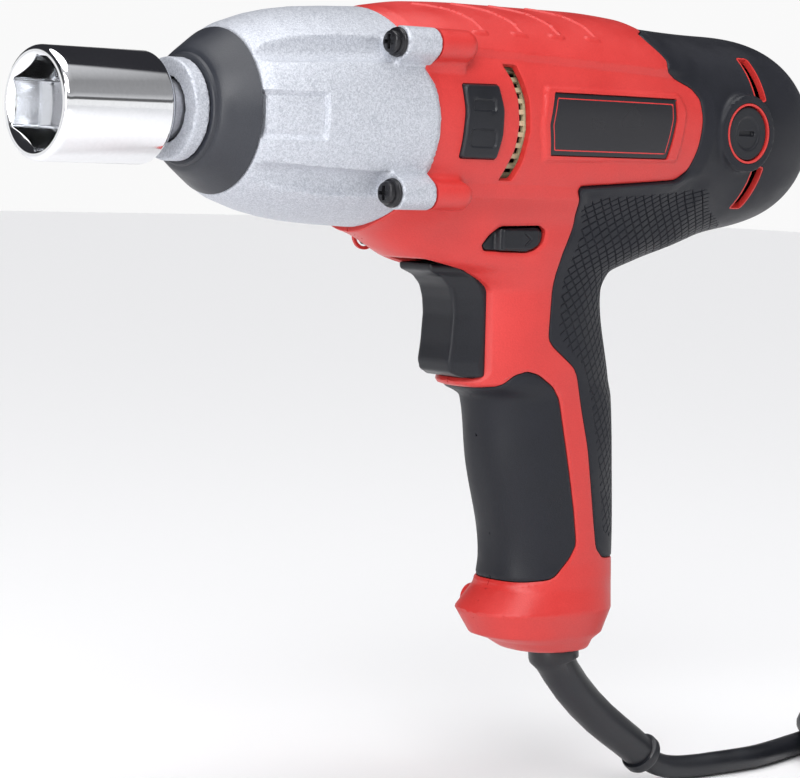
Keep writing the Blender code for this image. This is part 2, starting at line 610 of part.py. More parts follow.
# ---------------------------------------------------------------- motor
def make_motor():
    front, back = GEAR_U
    rear_end = REAR_BEARING_U[1] + 1.0
    shaft = turned("armature_shaft", [(back + 0.4, 0.0), (back + 0.4, MOTOR_SHAFT_RADIUS),
                                      (rear_end, MOTOR_SHAFT_RADIUS), (rear_end, 0.0)], FINE)
    pitch = GEAR_MODULE * SUN_TEETH / 2
    pinion = toothed(SUN_TEETH, pitch - 1.1, pitch + 0.8, 0.75, 0.3)
    join(shaft, flat("pinion", [pinion], front, back + 0.5, AXIAL))
    part(shaft, STEEL, MOTOR_AXIS)
    bore = MOTOR_SHAFT_RADIUS + GAP
    lamination = toothed(12, 13.0, 18.3, 3.0, 4.2)
    part(flat("armature_core", [lamination, circle(bore, FINE)], STATOR_U[0], STATOR_U[1], AXIAL), COPPER,
         MOTOR_AXIS)
    commutator = turned("commutator", [(242.0, bore), (242.0, COMMUTATOR_RADIUS), (259.0, COMMUTATOR_RADIUS),
                                       (259.0, bore)], 24)
    part(commutator, COPPER, MOTOR_AXIS)
    blades = toothed(10, 8.0, 26.0, 1.0, 1.0)
    disc = turned("cooling_fan", [(FAN_U[1] - 2.0, bore), (FAN_U[1] - 2.0, 26.0), (FAN_U[1], 26.0),
                                  (FAN_U[1], bore)])
    join(disc, flat("fan_blades", [blades, circle(bore + 0.5, FINE)], FAN_U[0], FAN_U[1] - 1.5, AXIAL))
    part(disc, BLACK, MOTOR_AXIS)
    low, high = REAR_BEARING_U
    part(turned("rear_bearing", [(low, bore), (low, 10.5), (high, 10.5), (high, bore)], 24), STEEL)
    part(flat("field_stator", [circle(28.4), circle(19.0, 24)], STATOR_U[0], STATOR_U[1], AXIAL), STEEL)
    part(turned("air_baffle", [(141.0, 27.6), (141.0, 29.1), (158.0, 29.1), (158.0, 27.6)]), CREAM)


def make_brushes():
    for side, _, sign in HALVES:
        low, high = sorted((sign * 13.2, sign * 27.0))
        holder = block("brush_holder_" + side, (BRUSH_U - 5.5, low, -6.4), (BRUSH_U + 5.5, high, 6.4))
        slot = block("brush_slot_" + side, (BRUSH_U - 3.5, low - 1.0, -4.5), (BRUSH_U + 3.5, high + 1.0, 4.5))
        part(cut(holder, slot), BRASS)
        low, high = sorted((sign * 11.4, sign * 20.0))
        part(block("carbon_brush_" + side, (BRUSH_U - 3.2, low, -4.2), (BRUSH_U + 3.2, high, 4.2)), CARBON)
        spring = helix("brush_spring_" + side, (BRUSH_U, 0.0), 2.4, 0.4, 3.5, sign * 20.8, sign * 26.5, "y")
        part(spring, STEEL)
        cap = rod("brush_cap_" + side, (BRUSH_U, sign * 27.3, 0.0), (BRUSH_U, sign * 32.6, 0.0), 8.6, 20)
        low, high = sorted((sign * 31.4, sign * 34.0))
        part(cut(cap, block("cap_slot_" + side, (BRUSH_U - 5.0, low, -0.9), (BRUSH_U + 5.0, high, 0.9))), BLACK)


# ---------------------------------------------------------------- body shells and their inlays
def rear_slots():
    """The four air slots beside the brush caps."""
    for name, middle in (("a", 35.0), ("b", 145.0), ("c", 215.0), ("d", 325.0)):
        sector = arc(40.0, middle - 15.0, middle + 15.0, 4) + arc(22.0, middle + 15.0, middle - 15.0, 4)
        yield flat("rear_slot_" + name, [sector], 256.8, 261.2, AXIAL)


def make_body():
    whole = copy_of(OUTER, "shell_body")
    for corner, y, z in lug_places():
        join(whole, rod("bump_" + corner, (LUG_U[1] - 2.0, y, z), (BUMP_END_U, y, z), LUG_RADIUS))
    cut(whole, CAVITY)
    for i, (u, z, half) in enumerate(SHELL_SCREWS):
        join(whole, rod("boss_%d" % i, (u, -half, z), (u, half, z), 4.6))
    low, high = REAR_BEARING_U
    bulkhead = turned("bulkhead", [(low, 10.8), (low, 13.0), (high + 0.6, 13.0), (high + 0.6, 28.4),
                                   (high + 2.6, 28.4), (high + 2.6, 9.0), (high + GAP, 9.0), (high + GAP, 10.8)])
    join(whole, bulkhead)
    ahead = [(u + GAP, z) for u, z in NOSE_RIM] + [(60.0, -50.0), (60.0, 50.0)]
    cut(whole, flat("ahead_of_rim", [ahead], -REACH, REACH, SIDE))
    for corner, y, z in lug_places():
        cut(whole, rod("lug_room_" + corner, (95.0, y, z), (LUG_U[1] + GAP, y, z), LUG_RADIUS + GAP))
        cut(whole, rod("thread_" + corner, (LUG_U[1], y, z), (127.0, y, z), 2.3, 12))
    caps = rod("cap_bores", (BRUSH_U, -45.0, 0.0), (BRUSH_U, 45.0, 0.0), 8.9, 20)
    label_gap = block("label_gap", (100.0, -20.0, -60.0), (240.0, 20.0, 60.0))
    cut(whole, pocket("overmould_room", OVERMOULD), pocket("grip_room", GRIP_PAD),
        cut(pocket("side_pad_room", SIDE_PAD), label_gap), cut(pocket("label_room", LABEL), label_gap))
    for side, _, sign in HALVES:
        join(whole, rod("cap_boss_" + side, (BRUSH_U, sign * 24.0, 0.0), (BRUSH_U, sign * 33.2, 0.0), 9.5, 20))
    cut(whole, caps, cut(flat("vent", [VENT], -REACH, REACH, SIDE), label_gap), *rear_slots())
    lever_window = flat("lever_window", [grown(LEVER, 0.5)], -REACH, REACH, SIDE)
    width = TRIGGER_HALF_WIDTH + 0.4
    trigger_window = block("trigger_window", (110.0, -width, -78.6), (168.0, width, -42.6))
    boot_hole = rod("boot_hole", (204.9, 0.0, -150.0), (204.9, 0.0, -180.0), 6.7, 24)
    cut(whole, lever_window, trigger_window, boot_hole)
    left, right = copy_of(whole, "shell_left"), copy_of(whole, "shell_right")
    for i, (u, z, _) in enumerate(SHELL_SCREWS):
        cut(left, rod("pilot_%d" % i, (u, 5.0, z), (u, -11.0, z), 1.8, 12))
        cut(right, rod("clear_%d" % i, (u, -5.0, z), (u, 20.0, z), 1.8, 12),
            rod("head_room_%d" % i, (u, 9.0, z), (u, 60.0, z), 3.6))
        screw = rod("shell_screw_%d" % (i + 1), (u, -10.0, z), (u, 9.6, z), 1.5, 12)
        part(join(screw, rod("screw_head_%d" % i, (u, 9.3, z), (u, 12.0, z), 3.2)), STEEL)
    part(common(left, LEFT), RED)
    part(common(right, RIGHT), RED)


def make_inlays():
    cap_hole = rod("overmould_hole", (BRUSH_U, -45.0, 0.0), (BRUSH_U, 45.0, 0.0), 9.8, 20)
    slots = list(rear_slots())
    screw_rooms = [rod("inlay_screw_room_%d" % i, (u, 0.0, z), (u, 60.0, z), 3.6)
                   for i, (u, z, _) in enumerate(SHELL_SCREWS)]
    for side, half, sign in HALVES:
        over = flat("rear_overmould_" + side, [OVERMOULD], -REACH, REACH, SIDE)
        common(over, OUTER, half)
        cut(over, FLOOR, cap_hole, *slots, *screw_rooms)
        part(over, RUBBER)
        pad = flat("grip_pad_" + side, [GRIP_PAD], -REACH, REACH, SIDE)
        common(pad, OUTER, half)
        part(cut(pad, FLOOR), RUBBER)
        low, high = sorted((sign * 20.0, sign * REACH))
        side_pad = flat("side_pad_" + side, [SIDE_PAD], low, high, SIDE)
        common(side_pad, PROUD)
        part(cut(side_pad, FLOOR), BLACK)
        label = flat("label_" + side, [LABEL], low, high, SIDE)
        common(label, OUTER)
        part(cut(label, FLOOR), BLACK)


# ---------------------------------------------------------------- trigger, lever and switch
def make_controls():
    half = TRIGGER_HALF_WIDTH
    trigger = flat("trigger", [FINGER], -FINGER_HALF_WIDTH, FINGER_HALF_WIDTH, SIDE)
    cheeks = block("trigger_cheeks", (152.5, -half, -77.6), (TRIGGER_BACK_U, half, -43.6))
    cut(join(trigger, cheeks), rod("spring_bore", (152.2, 0.0, -60.0), (165.0, 0.0, -60.0), 4.4, FINE))
    part(bevel(trigger, 0.5, 1), BLACK, TRIGGER_AXIS)
    spring = helix("trigger_spring", (0.0, -60.0), 3.2, 0.5, 5.5, 152.8, 169.0)
    part(spring, STEEL)
    switch = bevel(block("switch_body", (169.9, -10.0, -84.0), (199.0, 10.0, -48.0)), 1.0, 1)
    part(switch, BLACK)
    lever = flat("direction_lever", [LEVER], -21.8, -16.8, SIDE)
    join(lever, block("lever_bar", (157.0, -18.0, -37.0), (165.0, 18.0, -33.4)),
         flat("lever_far_end", [LEVER], 16.8, 21.8, SIDE))
    part(lever, BLACK, LEVER_AXIS)
    part(bevel(block("capacitor", (178.0, -8.0, -118.0), (200.0, 8.0, -96.0)), 1.0, 1), CREAM)


# ---------------------------------------------------------------- cord
def make_cord():
    path = [(u, 0.0, z) for u, z, _ in BOOT]
    part(tube("cord_boot", path, [radius for _, _, radius in BOOT]), RUBBER)
    clamp = bevel(block("cord_clamp", (196.0, -9.0, -157.0), (213.8, 9.0, -151.0)), 0.8, 1)
    part(cut(clamp, rod("clamp_hole", (204.9, 0.0, -160.0), (204.9, 0.0, -148.0), 4.7)), BLACK)
    part(tube("cord", CORD, [CORD_RADIUS] * len(CORD)), RUBBER)
    centre_u, centre_y = COIL_CENTRE
    inner, outer = COIL_RADII
    floor = CORD_LEVEL - CORD_RADIUS
    top = floor + COIL_HEIGHT
    profile = [(inner + 5.2, floor + 1.0), (outer - 5.2, floor + 1.0), (outer, floor + 8.5), (outer, floor + 12.8),
               (outer - 4.4, top), (inner + 11.2, top), (inner, floor + 13.0), (inner, floor + 8.5)]
    rings = []
    for i in range(ROUND):
        angle = 2 * math.pi * i / ROUND
        rings.append([(centre_u + r * math.cos(angle), centre_y + r * math.sin(angle), z) for r, z in profile])
    part(closed_loop("cord_coil", rings), RUBBER)
    low, high = centre_u - outer - GAP, centre_u - inner + 3 * GAP
    tie = block("coil_tie", (low - 0.8, centre_y - 4.0, floor), (high + 0.8, centre_y + 4.0, top + 1.1))
    hollow = block("tie_hollow", (low, centre_y - 6.0, floor + 0.7), (high, centre_y + 6.0, top + GAP))
    part(cut(tie, hollow), BLACK)
    make_plug(centre_u + 3.0, centre_y - 33.0, top + GAP + 8.4)


def closed_loop(name, rings):
    """A skin through rings that come back to the first."""
    bm = bmesh.new()
    rows = [[bm.verts.new(world(*point)) for point in ring] for ring in rings]
    for row, after in zip(rows, rows[1:] + rows[:1]):
        for i in range(len(row)):
            j = (i + 1) % len(row)
            bm.faces.new((row[i], row[j], after[j], after[i]))
    return add_mesh(name, bm)


def make_plug(u, y, z):
    """A flat two-pin plug that points along -u, with its cable entry at the given point."""
    neck, body, pin = 12.0, 36.0, 19.0
    half_width, half_height = 17.0, 8.4
    sections = [(0.0, 5.2, 5.2), (neck, 6.5, 6.0), (neck + 5.0, 12.0, 7.6), (neck + 14.0, 16.4, half_height),
                (neck + body - 3.0, half_width, half_height), (neck + body, half_width - 1.5, half_height - 1.5)]
    rings = []
    for along, across, high in sections:
        ring = section(across, high, high, 2.8, FINE)
        rings.append([(u - along, y + a, z + b) for a, b in ring])
    plug = loft("plug", rings)
    for side in (-9.5, 9.5):
        end = u - neck - body
        join(plug, rod("plug_pin", (end + 2.0, y + side, z), (end - pin, y + side, z), 2.4, 12))
    part(plug, BLACK)


make_socket()
make_anvil()
make_nose()
make_hammer()
make_camshaft()
make_planet_stage()
make_motor()
make_brushes()
make_body()
make_inlays()
make_controls()
make_cord()
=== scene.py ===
"""Looks of a corded impact wrench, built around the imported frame.

Lengths are in millimetres in the tool's own directions until a mesh is made: u runs back from the socket's
front face along the drive axis, y is across the tool (the side with y below zero faces the camera) and z is up,
both from the drive axis. The body and the castings are surfaces of distance formulas: surface_net() meshes a
formula, scored() lays mesh edges along a line on it, and features raise or sink the skin between such lines.
"""

import math

import bmesh
import bpy
import numpy as np
from mathutils import Matrix, Vector

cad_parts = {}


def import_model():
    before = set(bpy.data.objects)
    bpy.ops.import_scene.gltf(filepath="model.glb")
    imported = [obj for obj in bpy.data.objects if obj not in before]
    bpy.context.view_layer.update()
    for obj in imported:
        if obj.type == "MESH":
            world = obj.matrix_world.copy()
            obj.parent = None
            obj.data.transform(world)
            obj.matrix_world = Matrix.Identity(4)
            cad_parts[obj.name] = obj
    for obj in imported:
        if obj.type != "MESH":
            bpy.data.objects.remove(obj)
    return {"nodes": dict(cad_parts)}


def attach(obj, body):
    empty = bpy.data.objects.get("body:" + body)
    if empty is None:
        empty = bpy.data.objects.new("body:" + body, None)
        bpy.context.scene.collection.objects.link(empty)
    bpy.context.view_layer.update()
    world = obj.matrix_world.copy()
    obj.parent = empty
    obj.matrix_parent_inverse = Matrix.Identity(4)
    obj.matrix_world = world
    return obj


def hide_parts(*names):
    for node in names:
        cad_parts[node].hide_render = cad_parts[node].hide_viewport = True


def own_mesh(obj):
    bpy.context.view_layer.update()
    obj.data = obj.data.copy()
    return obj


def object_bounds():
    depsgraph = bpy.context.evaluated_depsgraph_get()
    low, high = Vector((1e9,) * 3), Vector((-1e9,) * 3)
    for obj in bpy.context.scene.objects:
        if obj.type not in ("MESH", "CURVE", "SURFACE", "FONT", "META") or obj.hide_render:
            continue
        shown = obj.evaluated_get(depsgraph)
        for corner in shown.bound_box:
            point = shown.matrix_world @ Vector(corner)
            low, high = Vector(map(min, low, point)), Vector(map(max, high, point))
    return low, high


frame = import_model()
cad_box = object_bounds()

MM = 0.001
GRIP_U, GRIP_Z = 195.0, -105.0
DETAIL = 1.0


# ---------------------------------------------------------------- meshes from points
def world(points):
    """Points of the tool's layout, in metres in the frame."""
    points = np.asarray(points, float)
    return (points - (GRIP_U, 0.0, GRIP_Z)) * MM


def in_scene(name, data):
    """A new object in the scene."""
    thing = bpy.data.objects.new(name, data)
    bpy.context.scene.collection.objects.link(thing)
    return thing


def finished(name, points, faces, finish, body="tool_body", node=None, slot=None, sharp=32.0):
    """A piece that rides on a body, and may stand for a CAD node. The slot argument is not used."""
    mesh = bpy.data.meshes.new(name)
    mesh.from_pydata(world(points).tolist(), [], [list(map(int, face)) for face in faces])
    mesh.validate()
    mesh.shade_smooth()
    mesh.set_sharp_from_angle(angle=math.radians(sharp))
    mesh.materials.append(MAT[finish])
    piece = in_scene(name, mesh)
    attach(piece, body)
    if node:
        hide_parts(node)
    slot or finish
    return piece


def edges_of(faces, count):
    """The distinct edges of triangles, and for each triangle the edges after its three corners."""
    ends = np.stack([faces, np.roll(faces, -1, axis=1)], axis=-1).reshape(-1, 2)
    key = np.sort(ends, axis=1) @ np.array([count, 1])
    known, edge_of_side = np.unique(key, return_inverse=True)
    return np.stack([known // count, known % count], axis=1), edge_of_side.reshape(-1, 3)


def compact(points, faces, *others):
    """Only the points that the faces use."""
    used, renumbered = np.unique(faces, return_inverse=True)
    return (points[used], renumbered.reshape(faces.shape), *[o[used] for o in others])


def gradient(field, points, h=0.04):
    steps = np.eye(3) * h
    return np.stack([(field(points + s) - field(points - s)) / (2 * h) for s in steps], axis=1)


def unit(vectors):
    return vectors / np.maximum(np.linalg.norm(vectors, axis=1, keepdims=True), 1e-12)


def relaxed(points, faces, share):
    """Points moved towards the middle of their neighbours."""
    edges, _ = edges_of(faces, len(points))
    both = np.concatenate([edges, edges[:, ::-1]])
    total = np.stack([np.bincount(both[:, 0], points[both[:, 1], k], len(points)) for k in range(3)], axis=1)
    number = np.maximum(np.bincount(both[:, 0], minlength=len(points)), 1)[:, None]
    return points + share * (total / number - points)


def surface_net(field, low, high, step, rounds=3):
    """Triangles on the surface where a distance formula is zero."""
    axes = [np.arange(a, b + step, step) for a, b in zip(low, high)]
    shape = tuple(len(a) for a in axes)
    plane = np.stack(np.meshgrid(axes[1], axes[2], indexing="ij"), -1).reshape(-1, 2)
    value = np.empty(shape, np.float32)
    for i, u in enumerate(axes[0]):
        value[i] = field(np.column_stack([np.full(len(plane), u), plane])).reshape(shape[1:])
    inside = value < 0
    cell_lists, points_list, flips = [], [], []
    for a in range(3):
        b, c = (a + 1) % 3, (a + 2) % 3
        first = [slice(None)] * 3
        second = [slice(None)] * 3
        first[a], second[a] = slice(0, -1), slice(1, None)
        at = np.argwhere(inside[tuple(first)] != inside[tuple(second)])
        beyond = at.copy()
        beyond[:, a] += 1
        here, there = value[tuple(at.T)], value[tuple(beyond.T)]
        place = np.stack([axes[k][at[:, k]] for k in range(3)], axis=1)
        place[:, a] += step * here / (here - there)
        cells = []
        for db, dc in ((-1, -1), (0, -1), (0, 0), (-1, 0)):
            cell = at.copy()
            cell[:, b] += db
            cell[:, c] += dc
            cells.append(np.ravel_multi_index(tuple(cell.T), shape))
        cell_lists.append(np.stack(cells, axis=1))
        points_list.append(place)
        flips.append(here > 0)
    cells = np.concatenate(cell_lists)
    place = np.repeat(np.concatenate(points_list), 4, axis=0)
    flip = np.concatenate(flips)
    _, corner = np.unique(cells.ravel(), return_inverse=True)
    number = np.bincount(corner)
    points = np.stack([np.bincount(corner, place[:, k]) / number for k in range(3)], axis=1)
    quads = corner.reshape(-1, 4)
    quads[flip] = quads[flip][:, ::-1]
    across = np.linalg.norm(points[quads[:, 0]] - points[quads[:, 2]], axis=1)
    other = np.linalg.norm(points[quads[:, 1]] - points[quads[:, 3]], axis=1)
    turned = np.where((across > other)[:, None], np.roll(quads, -1, axis=1), quads)
    faces = np.concatenate([turned[:, [0, 1, 2]], turned[:, [0, 2, 3]]])
    for _ in range(rounds):
        points = settled(relaxed(points, faces, 0.5), field, step)
    return points, faces


def settled(points, field, reach):
    """Points moved onto the surface of a distance formula."""
    for _ in range(2):
        slope = gradient(field, points)
        move = field(points) / np.maximum((slope ** 2).sum(axis=1), 0.04)
        points = points - slope * np.clip(move, -reach, reach)[:, None]
    return points


def scored(points, faces, mark, held):
    """The same skin with mesh edges along the line where mark is zero. Held points aren't slid onto it."""
    value = mark(points)
    value[np.abs(value) < 1e-4] = 0.0
    edges, sides = edges_of(faces, len(points))

    def crossings():
        a, b = value[edges[:, 0]], value[edges[:, 1]]
        cross = a * b < 0
        share = np.where(cross, a / np.where(cross, a - b, 1.0), 0.0)
        start, end = points[edges[:, 0]], points[edges[:, 1]]
        some = np.flatnonzero(cross)
        here = start[some] + (end[some] - start[some]) * share[some, None]
        v, va, vb, t = mark(here), a[some], b[some], share[some]
        same = v * va > 0
        share[some] = np.where(same, t + (1 - t) * v / np.where(same, v - vb, 1.0),
                               t * va / np.where(same, 1.0, va - v))
        return cross, share, start + (end - start) * share[:, None]

    cross, share, place = crossings()
    near = cross & ((share < 0.22) | (share > 0.78))
    who = np.where(share < 0.5, edges[:, 0], edges[:, 1])
    near &= ~held[who]
    points = points.copy()
    points[who[near]] = place[near]
    value[who[near]] = 0.0
    cross, share, place = crossings()
    number = np.full(len(edges), -1)
    number[cross] = len(points) + np.arange(cross.sum())
    points = np.concatenate([points, place[cross]])
    held = np.concatenate([held | (value == 0.0), np.ones(cross.sum(), bool)])
    on_side = number[sides]
    split = (on_side >= 0).sum(axis=1)
    kept = [faces[split == 0]]
    for k in range(3):
        order = [k, (k + 1) % 3, (k + 2) % 3]
        corner, side = faces[:, order], on_side[:, order]
        two = (split == 2) & (side[:, 1] < 0)
        c, p, q = corner[two], side[two, 0], side[two, 2]
        kept += [np.stack([c[:, 0], p, q], 1), np.stack([p, c[:, 1], c[:, 2]], 1), np.stack([p, c[:, 2], q], 1)]
        one = (split == 1) & (side[:, 1] >= 0)
        c, p = corner[one], side[one, 1]
        kept += [np.stack([c[:, 0], c[:, 1], p], 1), np.stack([c[:, 0], p, c[:, 2]], 1)]
    return points, np.concatenate(kept), held


def carved(points, faces, lines):
    """The same skin with mesh edges along every line."""
    held = np.zeros(len(points), bool)
    for line in lines:
        points, faces, held = scored(points, faces, line, held)
    return points, faces


def thickened(points, normals, faces, depth):
    """A closed wall under a patch of skin."""
    edges, sides = edges_of(faces, len(points))
    uses = np.bincount(sides.ravel(), minlength=len(edges))
    ends = np.stack([faces, np.roll(faces, -1, axis=1)], axis=-1)
    rim = ends[uses[sides] == 1]
    count = len(points)
    under = faces[:, ::-1] + count
    walls = np.concatenate([np.stack([rim[:, 1], rim[:, 0], rim[:, 0] + count], 1),
                            np.stack([rim[:, 1], rim[:, 0] + count, rim[:, 1] + count], 1)])
    return np.concatenate([points, points - normals * depth]), np.concatenate([faces, under, walls])


# ---------------------------------------------------------------- formulas
def ramp(x, x0, x1):
    """0 before x0, 1 after x1, straight between."""
    return np.clip((x - x0) / (x1 - x0), 0.0, 1.0)


def ease(x, x0, x1):
    t = ramp(x, x0, x1)
    return t * t * (3 - 2 * t)


def either(a, b, radius):
    """Union of two distances with a fillet."""
    h = np.maximum(radius - np.abs(a - b), 0.0) / radius
    return np.minimum(a, b) - h * h * radius / 4


def both(a, b, radius):
    """Intersection of two distances with a rounded edge."""
    return -either(-a, -b, radius)


def smooth_table(rows, steps=12):
    """Rows of a section table with smooth rows between them, without overshoot."""
    rows = np.array(rows, float)
    x, y = rows[:, 0], rows[:, 1:]
    gap = np.diff(x)[:, None]
    slope = np.diff(y, axis=0) / gap
    inner = np.where(slope[:-1] * slope[1:] > 0,
                     2 * slope[:-1] * slope[1:] / np.where(np.abs(slope[:-1] + slope[1:]) < 1e-9, 1.0,
                                                           slope[:-1] + slope[1:]), 0.0)
    tangent = np.concatenate([slope[:1], inner, slope[-1:]])
    t = np.arange(steps)[None, :, None] / steps
    width = gap[:, None]
    y0, y1, m0, m1 = y[:-1, None], y[1:, None], tangent[:-1, None] * width, tangent[1:, None] * width
    curve = ((2 * t ** 3 - 3 * t ** 2 + 1) * y0 + (t ** 3 - 2 * t ** 2 + t) * m0
             + (3 * t ** 2 - 2 * t ** 3) * y1 + (t ** 3 - t ** 2) * m1)
    places = x[:-1, None] + np.diff(x)[:, None] * t[0, :, 0]
    table = np.column_stack([places.ravel(), curve.reshape(-1, y.shape[1])])
    return np.concatenate([table, rows[-1:]])


def smooth_loop(outline, reach, rounds=3):
    """A closed outline with its corners rounded off, over at most a reach of each side."""
    line = np.array(outline, float)
    before, after = line - np.roll(line, 1, axis=0), np.roll(line, -1, axis=0) - line
    long_before, long_after = (np.linalg.norm(side, axis=1, keepdims=True) for side in (before, after))
    line = np.stack([line - before * np.minimum(reach / long_before, 0.5), line,
                     line + after * np.minimum(reach / long_after, 0.5)], axis=1).reshape(-1, 2)
    line = line[np.linalg.norm(line - np.roll(line, 1, axis=0), axis=1) > 1e-6]
    for _ in range(rounds):
        after = np.roll(line, -1, axis=0)
        line = np.stack([0.75 * line + 0.25 * after, 0.25 * line + 0.75 * after], axis=1).reshape(-1, 2)
    return line


def segment_distance(places, starts, ends):
    """Distance of 2D places from the nearest of some straight lines."""
    best = np.full(len(places), 1e9)
    for a, b in zip(starts, ends):
        side, rel = b - a, places - a
        t = np.clip(rel @ side / max(side @ side, 1e-12), 0.0, 1.0)
        best = np.minimum(best, ((rel - t[:, None] * side) ** 2).sum(axis=1))
    return np.sqrt(best)


def loop_distance(places, loop):
    """Distance of 2D places from a closed outline, negative inside."""
    after = np.roll(loop, -1, axis=0)
    crossings = np.zeros(len(places), int)
    for a, b in zip(loop, after):
        if b[1] != a[1]:
            above = (a[1] > places[:, 1]) != (b[1] > places[:, 1])
            crossings += above & (places[:, 0] < a[0] + (places[:, 1] - a[1]) * (b[0] - a[0]) / (b[1] - a[1]))
    return segment_distance(places, loop, after) * np.where(crossings % 2, -1.0, 1.0)


def rounded_box(x, y, half_x, half_y, radius):
    dx, dy = np.abs(x) - half_x + radius, np.abs(y) - half_y + radius
    return (np.hypot(np.maximum(dx, 0), np.maximum(dy, 0)) + np.minimum(np.maximum(dx, dy), 0.0) - radius)


def outline_mark(outline, side_only=False, reach=5.0):
    """Distance from an outline seen from the side, negative inside, for both sides of the tool."""
    loop = smooth_loop(outline, reach)
    low, high = loop.min(axis=0) - 8.0, loop.max(axis=0) + 8.0

    def mark(points):
        value = np.full(len(points), 8.0)
        near = ((points[:, [0, 2]] > low) & (points[:, [0, 2]] < high)).all(axis=1)
        if side_only:
            near &= np.abs(points[:, 1]) > 15.0
        value[near] = np.minimum(loop_distance(points[near][:, [0, 2]], loop), 8.0)
        return value
    return mark


# ---------------------------------------------------------------- camera and light
CAMERA_PLACE = (-0.635841, -0.667620, 0.096369)
CAMERA_RIGHT = (0.75847854, -0.65065447, 0.03686549)
CAMERA_UP = (0.02606839, 0.08681418, 0.9958834)
FLOOR_GAP = 0.0002


def make_camera():
    """The view from the front left of the socket, a little above it."""
    data = bpy.data.cameras.new("view")
    data.lens, data.sensor_width = 130.5, 36.0
    data.clip_start, data.clip_end = 0.05, 20.0
    camera = in_scene("view", data)
    right, up = Vector(CAMERA_RIGHT), Vector(CAMERA_UP)
    turn = Matrix((right, up, right.cross(up))).transposed()
    camera.matrix_world = Matrix.Translation(CAMERA_PLACE) @ turn.to_4x4()
    bpy.context.scene.camera = camera


def soft_light(name, place, target, size, power):
    data = bpy.data.lights.new(name, "AREA")
    data.shape = "RECTANGLE"
    data.size, data.size_y = size
    data.energy = power
    light = in_scene(name, data)
    light.location = place
    light.rotation_mode = "QUATERNION"
    light.rotation_quaternion = (Vector(target) - Vector(place)).to_track_quat("-Z", "Y")


def make_studio():
    low = cad_box[0]
    floor = in_scene("floor", bpy.data.meshes.new("floor"))
    bm = bmesh.new()
    bmesh.ops.create_grid(bm, x_segments=1, y_segments=1, size=6.0)
    bm.to_mesh(floor.data)
    bm.free()
    floor.location = (0.0, 0.0, low.z - FLOOR_GAP)
    floor.data.materials.append(shader_of("floor_white", (0.90, 0.90, 0.91), 0.7)[0])
    make_sky()
    bpy.context.scene.view_settings.view_transform = "Standard"
    middle = (0.0, 0.0, 0.03)
    overhead = bpy.data.lights.new("overhead", "SUN")
    overhead.energy, overhead.angle = 2.3, math.radians(60.0)
    in_scene("overhead", overhead)
    soft_light("key", (-0.75, -0.75, 0.75), middle, (0.6, 0.6), 9.0)
    soft_light("left", (-1.15, -0.45, 0.15), middle, (0.3, 0.9), 5.0)


def add_node(tree, kind, inputs, **settings):
    """A shader node. Each input is a value, or the output of another node that it is linked to."""
    node = tree.nodes.new("ShaderNode" + kind)
    for key, value in settings.items():
        setattr(node, key, value)
    for key, value in inputs.items():
        if isinstance(value, bpy.types.NodeSocket):
            tree.links.new(value, node.inputs[key])
        else:
            node.inputs[key].default_value = value
    return node


def remap(tree, source, low, high, from_low=0.35, from_high=0.65):
    values = {"Value": source, "From Min": from_low, "From Max": from_high, "To Min": low, "To Max": high}
    return add_node(tree, "MapRange", values).outputs["Result"]


def mixed(tree, share, first, second):
    return add_node(tree, "Mix", {0: share, 6: first, 7: second}, data_type="RGBA").outputs[2]


def make_sky():
    """White low down all around, and darker higher up, so that polished metal has something to show."""
    sky = bpy.data.worlds.new("studio")
    sky.use_nodes = True
    bpy.context.scene.world = sky
    tree = sky.node_tree
    look = add_node(tree, "TexCoord", {}).outputs["Generated"]
    split = add_node(tree, "SeparateXYZ", {0: look}).outputs
    height = add_node(tree, "ValToRGB", {"Fac": split["Z"]})
    bands = height.color_ramp.elements
    for band, place in zip(bands, (0.0, 0.13)):
        band.position, band.color = place, (0.95, 0.95, 0.95, 1.0)
    for place, value in ((0.15, 0.10), (0.21, 0.12), (0.23, 0.62), (0.34, 0.34), (0.56, 0.30), (0.62, 0.30),
                         (0.95, 0.8)):
        bands.new(place).color = (value, value, value * 1.02, 1.0)
    behind = remap(tree, split["Y"], 0.0, 1.0, -0.16, -0.08)
    above = remap(tree, split["Z"], 0.0, 1.0, 0.2, 0.26)
    share = add_node(tree, "Math", {0: behind, 1: above}, operation="MULTIPLY").outputs[0]
    colour = mixed(tree, share, height.outputs["Color"], (0.03, 0.03, 0.035, 1.0))
    tree.links.new(colour, tree.nodes["Background"].inputs["Color"])


# ---------------------------------------------------------------- materials
def shader_of(name, colour, roughness, metallic=0.0, **settings):
    material = bpy.data.materials.new(name)
    material.use_nodes = True
    shader = material.node_tree.nodes["Principled BSDF"]
    shader.inputs["Base Color"].default_value = (*colour, 1.0)
    shader.inputs["Roughness"].default_value = roughness
    shader.inputs["Metallic"].default_value = metallic
    for key, value in settings.items():
        shader.inputs[key.replace("_", " ")].default_value = value
    return material, shader


def grain(tree, scale, detail=3.0):
    """Noise in the frame's own space, in grains per metre."""
    place = add_node(tree, "TexCoord", {}).outputs["Object"]
    return add_node(tree, "TexNoise", {"Vector": place, "Scale": scale, "Detail": detail}).outputs["Fac"]


